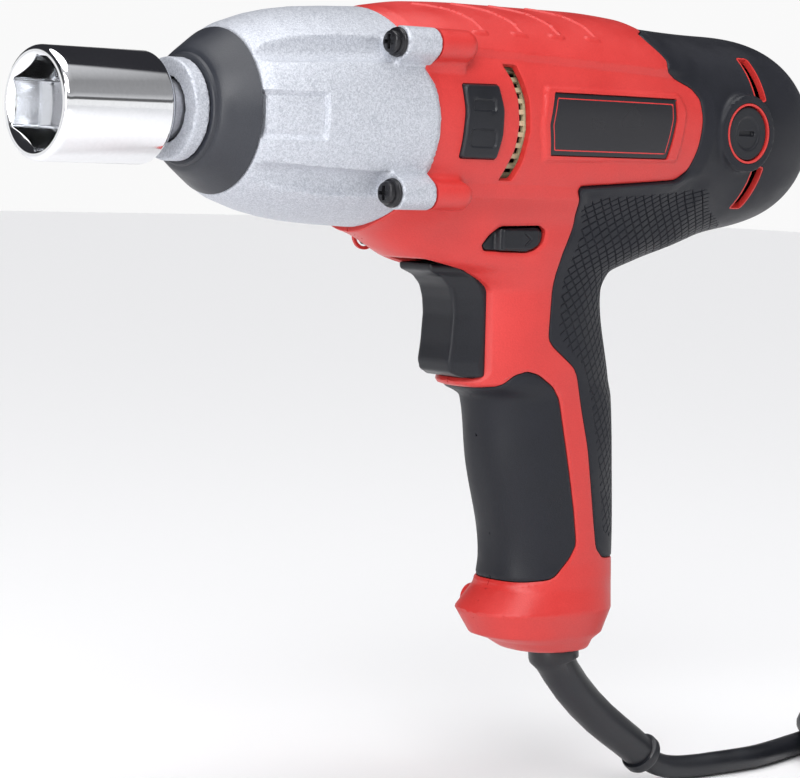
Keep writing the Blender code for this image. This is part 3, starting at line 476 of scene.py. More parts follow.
def surface(name, dark, light, roughness, fine=2600.0, blotch=60.0, bump=0.00006, metallic=0.0, spread=0.08,
            detail=3.0, contrast=(0.35, 0.65), **settings):
    """A moulded or worked surface: a fine grain that bumps it, and slow changes of colour and gloss."""
    material, shader = shader_of(name, light, roughness, metallic, **settings)
    tree = material.node_tree
    speck, slow = grain(tree, fine, detail), grain(tree, blotch)
    half = add_node(tree, "Math", {0: speck, 1: 0.5}, operation="MULTIPLY").outputs[0]
    blend = add_node(tree, "Math", {0: slow, 1: 0.5, 2: half}, operation="MULTIPLY_ADD").outputs[0]
    colour = mixed(tree, remap(tree, blend, 0.0, 1.0, *contrast), (*dark, 1.0), (*light, 1.0))
    tree.links.new(colour, shader.inputs["Base Color"])
    tree.links.new(remap(tree, slow, roughness - spread, roughness + spread), shader.inputs["Roughness"])
    bumps = add_node(tree, "Bump", {"Height": speck, "Distance": bump})
    tree.links.new(bumps.outputs["Normal"], shader.inputs["Normal"])
    return material


# Finishes, by the name of their slot: dark and light colour, roughness, fineness of the grain, and the rest
FINISHES = {
    "red_plastic": ((0.50, 0.026, 0.023), (0.58, 0.036, 0.032), 0.42, 2100.0, {"bump": 0.00007}),
    "soft_grip": ((0.007, 0.008, 0.012), (0.012, 0.013, 0.019), 0.50, 2800.0,
                  {"bump": 0.00005, "Specular_IOR_Level": 0.3}),
    "black_plastic": ((0.006, 0.007, 0.010), (0.011, 0.012, 0.017), 0.38, 2400.0,
                      {"bump": 0.00004, "Specular_IOR_Level": 0.35}),
    "label_film": ((0.006, 0.006, 0.009), (0.009, 0.009, 0.013), 0.34, 2600.0,
                   {"blotch": 25.0, "bump": 0.00001}),
    "label_line": ((0.50, 0.02, 0.02), (0.62, 0.03, 0.03), 0.35, 1500.0, {"bump": 0.00001}),
    "cast_alloy": ((0.37, 0.39, 0.44), (0.56, 0.58, 0.63), 0.46, 2600.0,
                   {"blotch": 1300.0, "bump": 0.00016, "metallic": 0.25, "detail": 2.0,
                    "contrast": (0.38, 0.62)}),
    "chrome": ((0.84, 0.85, 0.87), (0.90, 0.91, 0.93), 0.07, 900.0,
               {"blotch": 30.0, "bump": 0.000002, "metallic": 1.0, "spread": 0.02}),
    "steel": ((0.42, 0.42, 0.44), (0.58, 0.58, 0.60), 0.30, 1800.0, {"bump": 0.00002, "metallic": 1.0}),
    "bumper_rubber": ((0.016, 0.018, 0.025), (0.026, 0.029, 0.038), 0.46, 2600.0, {}),
    "screw_black": ((0.012, 0.012, 0.014), (0.024, 0.024, 0.028), 0.28, 2000.0,
                    {"bump": 0.00002, "metallic": 0.4}),
    "bronze": ((0.36, 0.22, 0.10), (0.48, 0.31, 0.15), 0.42, 1600.0, {"metallic": 1.0}),
    "copper": ((0.60, 0.25, 0.13), (0.78, 0.36, 0.20), 0.32, 1600.0, {"metallic": 1.0}),
    "laminations": ((0.16, 0.16, 0.17), (0.30, 0.30, 0.31), 0.45, 3000.0, {"metallic": 0.9}),
    "carbon": ((0.012, 0.012, 0.012), (0.03, 0.03, 0.03), 0.75, 1500.0, {}),
    "cream_plastic": ((0.56, 0.49, 0.30), (0.70, 0.63, 0.42), 0.5, 1500.0, {}),
    "cord_rubber": ((0.008, 0.009, 0.012), (0.014, 0.015, 0.020), 0.42, 2200.0, {"bump": 0.00004}),
}
MAT = {name: surface(name, *values, **rest) for name, (*values, rest) in FINISHES.items()}


# ---------------------------------------------------------------- cord
CORD_RADIUS = 3.9
CORD_LEVEL = -214.0
CORD = [(249.8, 0.0, -208.4), (252.6, 0.0, -210.1), (256.8, 0.0, -211.9), (263.0, 0.0, -213.3),
        (272.0, -0.2, CORD_LEVEL), (284.0, -0.9, CORD_LEVEL), (294.0, -1.2, CORD_LEVEL),
        (303.0, -0.7, CORD_LEVEL), (312.0, 1.1, CORD_LEVEL), (319.0, 2.8, CORD_LEVEL),
        (325.3, 4.5, CORD_LEVEL)]
COIL_CENTRE = (369.1, -29.2)
LAYER = 6.75                    # rise from one layer of turns to the next
# Radius and layer of each turn, from the one that the cord runs into
TURNS = [(43.9, 0), (36.1, 0), (32.2, 1), (40.0, 1), (47.8, 1), (43.9, 2)]
TURN_POINTS = 20
COIL_START = 105.0              # where the straight cord touches its first turn, degrees
PLUG_ENTRY = (372.1, -62.2, -187.9)
LEAD_RADIUS = 37.3              # bend of the cord from the last turn to the plug
LEAD_START = 40.7


def around(centre, radius, degrees, height):
    angle = math.radians(degrees)
    return (centre[0] + radius * math.cos(angle), centre[1] + radius * math.sin(angle), height)


def coil_line():
    """Six turns, clockwise from above, and the bend that brings the cord onto the coil and to its plug."""
    points = []
    levels = [(radius, CORD_LEVEL + layer * LAYER) for radius, layer in TURNS]
    for here, after in zip(levels, levels[1:] + levels[-1:]):
        for i in range(TURN_POINTS):
            share = float(ease(np.array(i / TURN_POINTS), 0.62, 1.0))
            radius, height = (a + (b - a) * share for a, b in zip(here, after))
            points.append(around(COIL_CENTRE, radius, COIL_START - 360.0 * i / TURN_POINTS, height))
    radius, height = levels[-1]
    for i in range(4):
        points.append(around(COIL_CENTRE, radius, COIL_START + (LEAD_START - COIL_START) * i / 4, height))
    lead_centre = around(COIL_CENTRE, radius - LEAD_RADIUS, LEAD_START, height)
    for i in range(9):
        rise = float(ease(np.array(i / 8), 0.0, 1.0)) * (PLUG_ENTRY[2] - height)
        degrees = LEAD_START + (-90.0 - LEAD_START) * i / 8
        points.append(around(lead_centre, LEAD_RADIUS, degrees, height + rise))
    points.append((PLUG_ENTRY[0] - 4.0, PLUG_ENTRY[1], PLUG_ENTRY[2]))
    return points


def make_cord():
    route = CORD + [(340.0, 8.45, CORD_LEVEL)] + coil_line()
    curve = bpy.data.curves.new("cord_flex", "CURVE")
    curve.dimensions = "3D"
    curve.resolution_u = 6
    curve.bevel_depth = CORD_RADIUS * MM
    curve.bevel_resolution = 5
    curve.use_fill_caps = True
    spline = curve.splines.new("BEZIER")
    spline.bezier_points.add(len(route) - 1)
    for point, place in zip(spline.bezier_points, world(route)):
        point.co = place
        point.handle_left_type = point.handle_right_type = "AUTO"
    flex = in_scene("cord_flex", curve)
    curve.materials.append(MAT["cord_rubber"])
    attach(flex, "tool_body")
    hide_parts("cord", "cord_coil")
    return flex


# ---------------------------------------------------------------- body of the tool
SIDES = (("left", -1.0), ("right", 1.0))
GAP = 0.3
WALL = 2.0
RIM_U, RIM_SIDE_U = 112.0, 118.5
LUG_Y, LUG_Z, LUG_RADIUS = 29.5, 21.7, 4.8
DOME_U, DOME_LENGTH, DOME_POWER = 256.0, 41.6, 2.75
BRUSH_U = 250.4
BOOT_U = 204.9
FOOT_Z = -166.7

# Motor barrel: distance u, height above the axis, depth below it, half width, squareness of the section
BARREL = smooth_table([
    (100.0, 32.0, 33.0, 33.0, 2.0), (112.0, 33.0, 33.0, 33.0, 2.0), (130.0, 35.3, 34.0, 33.0, 2.2),
    (150.0, 35.9, 34.4, 33.0, 2.3), (192.0, 35.9, 34.0, 33.0, 2.4), (212.0, 35.0, 33.4, 33.0, 2.2),
    (226.0, 32.4, 32.5, 32.5, 2.05), (DOME_U, 31.5, 31.6, 31.6, 2.0), (300.0, 31.5, 31.6, 31.6, 2.0)])

# Handle: height z, front u, back u, half width, squareness of the section
FOOT = [(-170.0, 189.0, 213.5, 12.0, 2.3), (-166.0, 185.0, 214.5, 13.8, 2.3), (-163.4, 180.5, 215.5, 15.4, 2.3),
        (-161.2, 173.4, 219.5, 17.2, 2.3), (-153.2, 168.2, 222.0, 20.3, 2.3), (-147.5, 173.2, 222.3, 18.6, 2.3)]
HANDLE = np.concatenate([FOOT, smooth_table([
    (-145.8, 174.7, 222.4, 18.1, 2.3), (-142.0, 175.8, 222.5, 17.6, 2.3), (-137.0, 176.0, 222.6, 17.0, 2.3),
    (-105.0, 168.6, 221.2, 17.5, 2.3), (-85.5, 165.2, 219.6, 17.6, 2.3), (-79.5, 154.3, 218.4, 17.9, 2.3),
    (-52.0, 154.5, 212.3, 19.0, 2.3), (-46.0, 145.0, 215.6, 20.0, 2.3), (-42.0, 131.0, 227.0, 21.0, 2.3),
    (-34.0, 118.0, 254.0, 22.5, 2.2), (-28.0, 116.0, 262.0, 22.0, 2.2), (-15.0, 150.0, 235.0, 24.0, 2.2),
    (0.0, 160.0, 225.0, 24.0, 2.2)])])

# Side outlines (u, z)
NOSE_RIM = [(95.0, 60.0), (95.0, -60.0), (RIM_U, -60.0), (RIM_U, -32.1), (114.5, -27.1), (117.8, -16.0),
            (RIM_SIDE_U, -6.0), (RIM_SIDE_U, 2.0), (117.4, 9.0), (114.8, 16.0), (112.9, 27.1), (RIM_U, 31.4),
            (RIM_U, 60.0)]
OVERMOULD = [(310.0, 45.0), (227.5, 45.0), (227.0, 32.4), (212.5, 30.0), (214.0, 27.3), (217.4, 24.0),
             (219.0, 21.7), (217.2, 18.6), (221.8, 16.7), (228.0, 14.2), (231.2, 10.6), (231.6, 3.7),
             (230.0, -5.8), (227.7, -12.8), (223.4, -16.4), (181.3, -19.1), (180.6, -20.3), (182.4, -23.3),
             (184.3, -30.5), (181.5, -38.2), (180.0, -47.5), (180.0, -66.1), (182.2, -68.6), (191.6, -75.0),
             (193.7, -78.2), (196.2, -88.3), (200.0, -101.1), (204.8, -126.7), (206.2, -133.2), (210.0, -136.6),
             (245.0, -138.5), (310.0, -60.0)]
GRIP_PAD = [(140.0, -80.8), (158.0, -82.0), (164.0, -81.0), (168.5, -77.3), (172.7, -76.1), (177.0, -77.2),
            (183.2, -81.1), (186.5, -85.2), (190.4, -101.1), (195.0, -120.3), (197.0, -131.5), (194.2, -136.1),
            (188.0, -142.0), (178.0, -143.2), (165.0, -142.2), (150.0, -139.5)]
SIDE_PAD = [(128.6, 11.2), (129.6, 3.0), (128.6, -11.4), (143.0, -11.4), (144.6, -4.0), (144.8, 3.7),
            (142.8, 11.4)]
LABEL = [(165.2, 9.8), (218.2, 9.8), (218.1, 3.2), (214.9, -9.3), (164.4, -9.4), (163.1, -0.1)]
LABEL_FRAME = [(161.6, 12.1), (220.7, 12.1), (223.8, 6.6), (220.4, -10.7), (162.1, -11.9), (159.8, -0.2)]
VENT = [(146.0, 18.0), (149.0, 12.8), (150.8, 7.0), (151.4, -0.5), (150.4, -8.0), (146.6, -18.0),
        (152.0, -18.0), (154.2, -12.4), (156.0, -2.0), (155.4, 7.0), (153.6, 13.0), (151.7, 18.0)]
LEVER_ROOM = [(149.3, -37.2), (151.4, -34.0), (155.0, -31.2), (170.6, -30.8), (173.2, -32.4), (172.5, -36.2),
              (169.6, -38.5), (166.4, -39.4), (150.6, -39.1)]
CHEQUER = [(183.5, -24.5), (192.0, -21.8), (224.5, -19.8), (240.0, -17.5), (246.0, -24.0), (262.0, -30.0),
           (262.0, -60.0), (230.0, -130.0), (212.5, -130.5), (209.0, -128.0), (204.5, -104.0), (198.5, -80.0),
           (195.5, -74.5), (186.5, -68.0), (183.5, -64.0), (183.2, -48.0), (187.5, -31.0)]


def barrel(points):
    u, y, z = points.T
    rows = [np.interp(u, BARREL[:, 0], BARREL[:, k]) for k in (1, 2, 3, 4)]
    high, low, half, power = rows
    reach = np.where(z > 0, high, low)
    around_axis = (np.abs(y) / half) ** power + (np.abs(z) / reach) ** power
    dome = np.maximum(u - DOME_U, 0.0) / DOME_LENGTH
    value = (around_axis ** (DOME_POWER / power) + dome ** DOME_POWER) ** (1 / DOME_POWER)
    return both(32.0 * (value - 1.0), 104.0 - u, 1.0)


def handle(points):
    u, y, z = points.T
    front, back, half, power = (np.interp(z, HANDLE[:, 0], HANDLE[:, k]) for k in (1, 2, 3, 4))
    reach = (back - front) / 2
    value = ((np.abs(u - (front + back) / 2) / reach) ** power + (np.abs(y) / half) ** power) ** (1 / power)
    shape = both(half * (value - 1.0), z + 12.0, 2.0)
    return both(shape, FOOT_Z - z, 1.5)


def screw_bump(points):
    """The ridges behind the nose lugs, on all four corners."""
    u, y, z = points.T
    along = np.clip(u, 112.0, 129.0)
    return np.sqrt((u - along) ** 2 + (np.abs(y) - LUG_Y) ** 2 + (np.abs(z) - LUG_Z) ** 2) - LUG_RADIUS


def cap_boss(points):
    u, y, z = points.T
    return both(np.hypot(u - BRUSH_U, z) - 12.4, np.abs(y) - 33.0, 0.8)


def foot_collar(points):
    u, y, z = points.T
    return both(np.hypot(u - BOOT_U, y) - 10.2, np.abs(z + 159.5) - 7.2, 0.8)


def body(points):
    shape = either(barrel(points), handle(points), 6.0)
    shape = either(shape, screw_bump(points), 2.2)
    shape = either(shape, cap_boss(points), 1.2)
    return either(shape, foot_collar(points), 1.5)


rim = outline_mark(NOSE_RIM)
overmould = outline_mark(OVERMOULD)
grip_pad = outline_mark(GRIP_PAD)
side_pad = outline_mark(SIDE_PAD, True, 2.0)
label = outline_mark(LABEL, True, 0.7)
label_frame = outline_mark(LABEL_FRAME, True, 2.0)
vent = outline_mark(VENT, True, 0.8)
lever_room = outline_mark(LEVER_ROOM, True, 3.0)
chequer = outline_mark(CHEQUER)


def cap_hole(points):
    return np.where(np.abs(points[:, 1]) > 15.0, np.hypot(points[:, 0] - BRUSH_U, points[:, 2]) - 8.9, 8.0)


def rear_slots(points):
    u, y, z = points.T
    angle = np.degrees(np.arctan2(np.abs(z), np.abs(y)))
    return rounded_box(u - 259.0, (angle - 35.0) * 0.55, 2.2, 8.2, 0.8)


def trigger_room(points):
    u, y, z = points.T
    return np.maximum(rounded_box(y, z + 60.6, 11.4, 18.0, 3.0), u - 185.0)


def boot_hole(points):
    u, y, z = points.T
    return np.where(z < -150.0, np.hypot(u - BOOT_U, y) - 6.8, 8.0)


SHELL_SCREWS = [(129.5, -35.4), (211.0, -92.0), (184.0, -152.0)]
SCREW_ROOM = 3.6


def screw_rooms(points):
    """Distance from the holes over the shell screws, on the right half only."""
    u, y, z = points.T
    holes = [np.hypot(u - hole_u, z - hole_z) - SCREW_ROOM for hole_u, hole_z in SHELL_SCREWS]
    return np.where(y > 8.0, np.min(holes, axis=0), 8.0)


def lug_room(points):
    """Clearance in the red shell for the rear of the nose lugs."""
    u, y, z = points.T
    return np.maximum(np.hypot(np.abs(y) - LUG_Y, np.abs(z) - LUG_Z) - 5.3, u - 118.0)


def centre(points):
    return np.abs(points[:, 1]) - GAP / 2


PANEL_DEPTH = 1.3


def panel_top(points):
    """Height above the upper edge of the side panel, which steps down under the front bumps."""
    u, _, z = points.T
    return z - np.interp(u, [130.5, 134.0, 215.0], [16.0, 21.8, 19.0])


def panel_low(points):
    u, _, z = points.T
    return z - np.interp(u, [130.5, 134.0], [-16.0, -19.3])


def panel(points):
    share = np.minimum(ramp(-panel_top(points), 0.0, 2.2), ramp(panel_low(points), -3.2, 0.3))
    return -PANEL_DEPTH * share * ramp(points[:, 0], 112.0, 120.0)


def hooks(points):
    """Distance from the four hook-ended lines over the crown."""
    u, y, z = points.T
    best = np.full(len(points), 8.0)
    near = (z > 20.0) & (u > 125.0) & (u < 200.0)
    across = np.degrees(np.arctan2(np.abs(y[near]), z[near]))
    places = np.column_stack([u[near], across * 0.58])
    value = np.full(near.sum(), 8.0)
    for start in (143.2, 158.6, 173.9, 189.0):
        line = np.array([(start - 15.5, 8.0), (start - 6.5, 13.5), (start - 1.8, 19.5), (start - 0.2, 25.0),
                         (start - 4.4, 24.6)])
        value = np.minimum(value, segment_distance(places, line[:-1], line[1:]))
    best[near] = value
    return best


def label_line(points):
    """A thin line just inside the label's edge."""
    return np.abs(label(points) + 1.7) - 0.16


def pad_recess(points):
    """Two shallow recesses in the side pad."""
    u, y, z = points.T
    upper = rounded_box(u - 136.4, z - 4.8, 4.6, 1.9, 0.6)
    lower = rounded_box(u - 136.4, z + 5.0, 5.4, 2.9, 1.6)
    return np.where(np.abs(y) > 18.0, np.minimum(upper, lower), 8.0)


def groove_set(direction, pitch):
    """Signed distance from the nearest of a set of parallel lines over the rear overmould."""
    cosine, sine = math.cos(math.radians(direction)), math.sin(math.radians(direction))

    def mark(points):
        u, y, z = points.T
        under = ease(z, -62.0, -42.0)
        side = np.abs(y) - 17.0
        across = (u - (1 - under) * side) * -sine + (z + under * side) * cosine
        value = np.sin(np.pi * across / pitch) * pitch / np.pi
        return np.where(chequer(points) < -0.2, value, np.abs(value) + 0.4)
    return mark


GROOVES = [groove_set(33.0, 2.7), groove_set(-60.0, 3.4)]


def steps(mark, *levels):
    return [(lambda points, level=level: mark(points) - level) for level in levels]


def body_lines():
    """Every line that gets mesh edges of its own."""
    lines = steps(lug_room, 0.0) + steps(screw_rooms, 0.0, 0.5) + steps(rim, GAP, 0.7, 4.4)
    lines += steps(overmould, -4.6, -3.8, -0.6, -0.15, 0.15, 0.6)
    lines += steps(grip_pad, -0.9, -0.15, 0.15, 0.9, 1.5) + steps(label_frame, -1.5, -1.2, 0.0)
    lines += steps(label, -1.86, -1.54, -0.4, -0.12, 0.12, 0.4)
    lines += steps(side_pad, -1.1, -0.7, -0.12, 0.12) + steps(vent, 0.0, 0.5)
    lines += steps(lever_room, 0.0, 0.6, 1.2) + steps(trigger_room, 0.0, 0.5, 1.4)
    lines += steps(cap_hole, 0.0, 0.7, 0.9) + steps(rear_slots, 0.0, 0.5, 0.65) + steps(boot_hole, 0.0)
    lines += steps(panel_top, 0.0, -2.2) + steps(panel_low, 0.3, -3.2)
    lines += steps(hooks, 0.45, 0.95) + steps(pad_recess, 0.0, -0.5)
    for groove in GROOVES:
        lines += steps(groove, -0.32, 0.0, 0.32)
    return lines + steps(centre, 0.0)


def profile(value, *pairs):
    places, heights = zip(*pairs)
    return np.interp(value, places, heights)


def relief(points):
    """Height of the detail over the plain body."""
    over, pad, plate, side = overmould(points), grip_pad(points), label(points), side_pad(points)
    frame_rise = profile(label_frame(points), (-1.5, 0.95), (-1.2, 0.88), (0.0, 0.0))
    red = panel(points) + frame_rise
    red += profile(hooks(points), (0.45, 0.42), (0.95, 0.0)) * (over > 0)
    high = ease(points[:, 2], 14.0, 24.0)
    red -= high * profile(rim(points), (GAP, 0.75), (4.4, 0.0))
    edge = profile(trigger_room(points), (0.0, -0.9), (0.5, -0.55), (1.4, 0.0))
    edge += profile(lever_room(points), (0.0, -0.5), (0.6, -0.15), (1.2, 0.0))
    edge += profile(rim(points), (GAP, -0.25), (0.7, 0.0))
    edge += profile(vent(points), (0.0, -0.2), (0.5, 0.0))
    edge += profile(screw_rooms(points), (0.0, -0.4), (0.5, 0.0))
    edge += profile(grip_pad(points), (0.15, -0.3), (0.9, 0.0), (1.1, 0.18), (1.5, 0.0))
    edge += profile(over, (0.15, -0.25), (0.6, 0.0))
    red = red + edge
    bottom_edge = ease(-points[:, 2], 13.0, 17.0) * (1 - ease(-points[:, 2], 22.0, 30.0))
    bottom_edge *= ease(points[:, 0], 180.0, 186.0) * (1 - ease(points[:, 0], 232.0, 240.0))
    back_edge = ease(points[:, 2], -16.0, -12.0) * (1 - ease(points[:, 2], 17.0, 19.5))
    back_edge *= 1 - ease(points[:, 0], 236.0, 240.0)
    soft = profile(over, (-0.6, 0.0), (-0.15, -0.35))
    soft += back_edge * profile(over, (-4.6, 0.0), (-4.2, -0.12), (0.0, -1.3))
    soft += bottom_edge * profile(over, (-4.6, -0.95), (-3.8, -0.9), (0.0, 0.3))
    cut = sum(np.clip(1 - np.abs(groove(points)) / 0.32, 0.0, 1.0) for groove in GROOVES)
    soft -= 0.42 * np.minimum(cut, 1.0) * ramp(-chequer(points), 0.2, 1.0) * (over < 0)
    grip = profile(pad, (-0.9, 0.0), (-0.15, -0.35))
    film = panel(points) + 0.95 - 0.32 + profile(plate, (-0.4, 0.0), (-0.12, -0.12))
    film += profile(label_line(points), (-0.02, 0.02), (0.0, 0.0))
    rubber = panel(points) + profile(side, (-1.1, 1.25), (-0.7, 1.1), (-0.12, 0.2))
    rubber += profile(pad_recess(points), (-0.5, -0.5), (0.0, 0.0))
    return np.select([over < 0, pad < 0, plate < 0, side < 0], [soft, grip, film, rubber], red)


def make_body():
    skin = surface_net(body, (101.0, -38.5, -170.5), (300.5, 38.5, 39.0), 0.95 * DETAIL)
    points, faces = carved(*skin, body_lines())
    points, faces = compact(points, faces[rim(points[faces].mean(axis=1)) > 0])
    normals = unit(gradient(body, points))
    raised = points + normals * relief(points)[:, None]
    middle = points[faces].mean(axis=1)
    over, pad, plate, side = overmould(middle), grip_pad(middle), label(middle), side_pad(middle)
    cap, slots = cap_hole(middle), rear_slots(middle)
    openings = [vent, lever_room, trigger_room, boot_hole, lug_room, screw_rooms, centre]
    hole = np.any([mark(middle) < 0 for mark in openings] + [cap < 0, slots < 0, rim(middle) < GAP], axis=0)
    band = ((cap < 0.7) | (slots < 0.5)) & (over < 0)
    seams = [(over, 0.15), (pad, 0.15), (plate, 0.12), (side, 0.12)]
    gap = np.any([np.abs(distance) < width for distance, width in seams], axis=0)
    gap |= ((cap > 0.7) & (cap < 0.9)) | ((slots > 0.5) & (slots < 0.65))
    clear = ~hole & ~gap
    # Each kind of piece: its part of the skin, its finish, its node and its thickness
    kinds = {
        "rear_grip": (clear & (over < 0) & ~band, "soft_grip", "rear_overmould", 1.6),
        "front_grip": (clear & (pad < 0), "soft_grip", "grip_pad", 1.6),
        "label_plate": (clear & (plate < 0), "label_film", "label", 0.8),
        "side_cushion": (clear & (side < 0), "black_plastic", "side_pad", 2.4),
    }
    taken = np.any([chosen for chosen, *_ in kinds.values()], axis=0)
    kinds["body_shell"] = (~hole & (~gap | band) & ~taken, "red_plastic", "shell", WALL)
    for name, (chosen, finish, node, depth) in kinds.items():
        for half, sign in SIDES:
            mine = chosen & (middle[:, 1] * sign > 0)
            patch, patch_faces, out = compact(raised, faces[mine], normals)
            wall = thickened(patch, out, patch_faces, depth)
            piece = finished(name + "_" + half, *wall, finish, node=node + "_" + half, sharp=38.0)
            if name == "label_plate":
                colour_line(piece, label_line(middle[mine]) < 0)


def colour_line(piece, on_line):
    """Gives the label's line its own finish. The skin's faces come first in the piece."""
    piece.data.materials.append(MAT["label_line"])
    index = np.zeros(len(piece.data.polygons), np.int32)
    index[:len(on_line)] = on_line
    piece.data.polygons.foreach_set("material_index", index)


# ---------------------------------------------------------------- turned and swept pieces
def round_angles(sides):
    return np.arange(sides) * 2 * math.pi / sides


def revolved(profile, sides):
    """A closed profile (u, radius) turned about the u axis."""
    u, r = np.tile(np.array(profile, float), (sides, 1)).T
    angle = np.repeat(round_angles(sides), len(profile))
    points = np.column_stack([u, r * np.cos(angle), r * np.sin(angle)])
    return points, outward(points, ring_faces(sides, len(profile)))


BOX_FACES = [(0, 1, 3, 2), (4, 6, 7, 5), (0, 4, 5, 1), (2, 3, 7, 6), (0, 2, 6, 4), (1, 5, 7, 3)]


def ring_faces(rows, columns, closed_rows=True):
    """Quads of a grid whose columns close, and whose rows do too unless told."""
    i = np.arange(rows if closed_rows else rows - 1)[:, None]
    j = np.arange(columns)[None, :]
    after, beside = (i + 1) % rows, (j + 1) % columns
    quads = np.stack([i * columns + j, i * columns + beside, after * columns + beside, after * columns + j], -1)
    return quads.reshape(-1, 4)


def outward(points, faces):
    """The faces, turned so that they look out of the closed shape."""
    faces = [tuple(face) for face in faces]
    first = np.array([face[:3] for face in faces])
    tri = [points[first[:, k]] for k in range(3)]
    volume = np.einsum("ij,ij->", tri[0], np.cross(tri[1], tri[2]))
    return faces if volume > 0 else [face[::-1] for face in faces]


def swept(path, radii, sides=24):
    """A closed round bar along a path, with one radius or one for each point."""
    path = np.array(path, float)
    radii = np.broadcast_to(radii, len(path))
    along = unit(np.gradient(path, axis=0))
    side = np.empty_like(path)
    side[0] = unit(np.cross(along[0], (0.3, 1.0, 0.2))[None])[0]
    for k in range(1, len(path)):
        side[k] = unit((side[k - 1] - along[k] * (side[k - 1] @ along[k]))[None])[0]
    other = np.cross(along, side)
    angle = round_angles(sides)
    rings = (path[:, None] + radii[:, None, None] * (side[:, None] * np.cos(angle)[None, :, None]
                                                     + other[:, None] * np.sin(angle)[None, :, None]))
    points = rings.reshape(-1, 3)
    faces = [tuple(f) for f in ring_faces(len(path), sides, False)]
    faces += [tuple(range(sides)), tuple(range(len(points) - 1, len(points) - 1 - sides, -1))]
    return points, outward(points, faces)


def joined(*meshes):
    """Several closed shapes in one mesh."""
    points, faces, count = [], [], 0
    for shape_points, shape_faces in meshes:
        points.append(shape_points)
        faces += [tuple(int(i) + count for i in face) for face in shape_faces]
        count += len(shape_points)
    return np.concatenate(points), faces


def mirrored(points, faces):
    """A shape and its mirror image on the other side of the tool."""
    other = points * (1.0, -1.0, 1.0)
    return joined((points, faces), (other, [tuple(face)[::-1] for face in faces]))


def coil(radius, wire, turns, start, end, centre_z=0.0, steps=28, sides=12):
    """A coil spring along u."""
    count = int(turns * steps)
    share = np.arange(count + 1) / count
    angle = 2 * math.pi * turns * share
    path = np.column_stack([start + (end - start) * share, radius * np.cos(angle),
                            centre_z + radius * np.sin(angle)])
    return swept(path, wire, sides)


def make_screw_tubes():
    """The walls of the holes that lead down to the shell screws."""
    shapes = []
    for u, z in SHELL_SCREWS:
        y = np.linspace(8.0, 30.0, 221)
        skin = y[np.argmax(body(np.column_stack([np.full(221, u), y, np.full(221, z)])) > 0)]
        corners = [(12.2, SCREW_ROOM), (12.2, 4.6), (skin - 0.9, 4.6), (skin - 0.9, SCREW_ROOM)]
        tube = revolved(corners, 48)[0][:, [1, 0, 2]] + (u, 0.0, z)
        shapes.append((tube, outward(tube, ring_faces(48, len(corners)))))
    finished("screw_tubes", *joined(*shapes), "red_plastic")


# ---------------------------------------------------------------- nose, bumper and screws
NOSE = [(43.0, 14.7), (60.9, 24.1), (64.5, 26.0), (73.0, 28.7), (80.0, 30.2), (88.0, 31.3), (99.0, 32.1),
        (112.0, 32.7), (121.0, 33.0)]
NOSE_BORE = [(40.0, 9.4), (49.6, 9.4), (49.8, 12.5), (65.0, 12.5), (67.0, 21.0), (73.0, 24.2), (88.0, 24.8),
             (105.8, 27.2), (106.5, 29.0), (125.0, 29.0)]
BUMPER = [(49.3, 13.8), (49.3, 15.6), (49.6, 16.0), (50.5, 16.3), (50.8, 17.2), (51.2, 17.8), (53.0, 19.1),
          (59.8, 23.6), (60.3, 23.9), (60.5, 23.6), (60.5, 13.8)]
# Washer, split washer and shank of a nose screw
WASHER = [(102.9, 1.6), (102.9, 3.7), (103.1, 4.1), (103.5, 4.2), (103.6, 4.0), (103.7, 4.2), (104.0, 4.35),
          (104.4, 4.3), (104.6, 4.0), (104.6, 1.9), (125.9, 1.9), (125.9, 1.6)]
LUG_PLACES = {"upper_left": (-1, 1), "lower_left": (-1, -1), "upper_right": (1, 1), "lower_right": (1, -1)}


def nose(points):
    u, y, z = points.T
    r = np.hypot(y, z)
    table = np.array(NOSE)
    lip = 0.5 * np.where(u < 103.0, 0.0, ramp(rim(points), -0.3, 0.2))
    skin = both(r + lip - np.interp(u, table[1:, 0], table[1:, 1]), 60.9 - u, 0.5)
    behind = np.where(u < 103.0, u - 111.0, rim(points) - 1.2)
    skin = both(skin, behind, 0.4)
    away, up = np.abs(y), np.abs(z)
    share = (u - 62.0) / 42.5
    trough_y, trough_z = 22.2 + 5.2 * share, 19.0 + 1.8 * share
    trough = both(np.hypot(away - trough_y, up - trough_z) - 5.0, u - 104.0, 0.3)
    shape = both(skin, -trough, 0.5)
    inward = np.clip(((LUG_Y - away) * 0.80 + (LUG_Z - up) * 0.60), 0.0, 9.0)
    web = np.hypot(away - LUG_Y + 0.80 * inward, up - LUG_Z + 0.60 * inward) - LUG_RADIUS
    lug = both(web, np.abs(u - 111.0) - 6.6, 0.7)
    seat = both(np.hypot(away - LUG_Y, up - LUG_Z) - 4.3, u - 104.9, 0.15)
    shape = either(shape, both(lug, -seat, 0.15), 0.8)
    collar = both(both(r - 14.7, 44.0 - u, 0.6), u - 49.0, 0.2)
    groove_floor = both(r - 13.5, np.abs(u - 54.0) - 8.0, 0.2)
    shape = np.minimum(shape, np.minimum(collar, groove_floor))
    bore = np.interp(u, *np.array(NOSE_BORE).T)
    return both(shape, bore - r, 0.3)


def nose_recess(points):
    u, y, z = points.T
    value = np.maximum(np.abs(z + 0.55) - 6.95, u - 80.0)
    return np.where((np.abs(y) > 20.0) & (u > 58.0), value, 8.0)


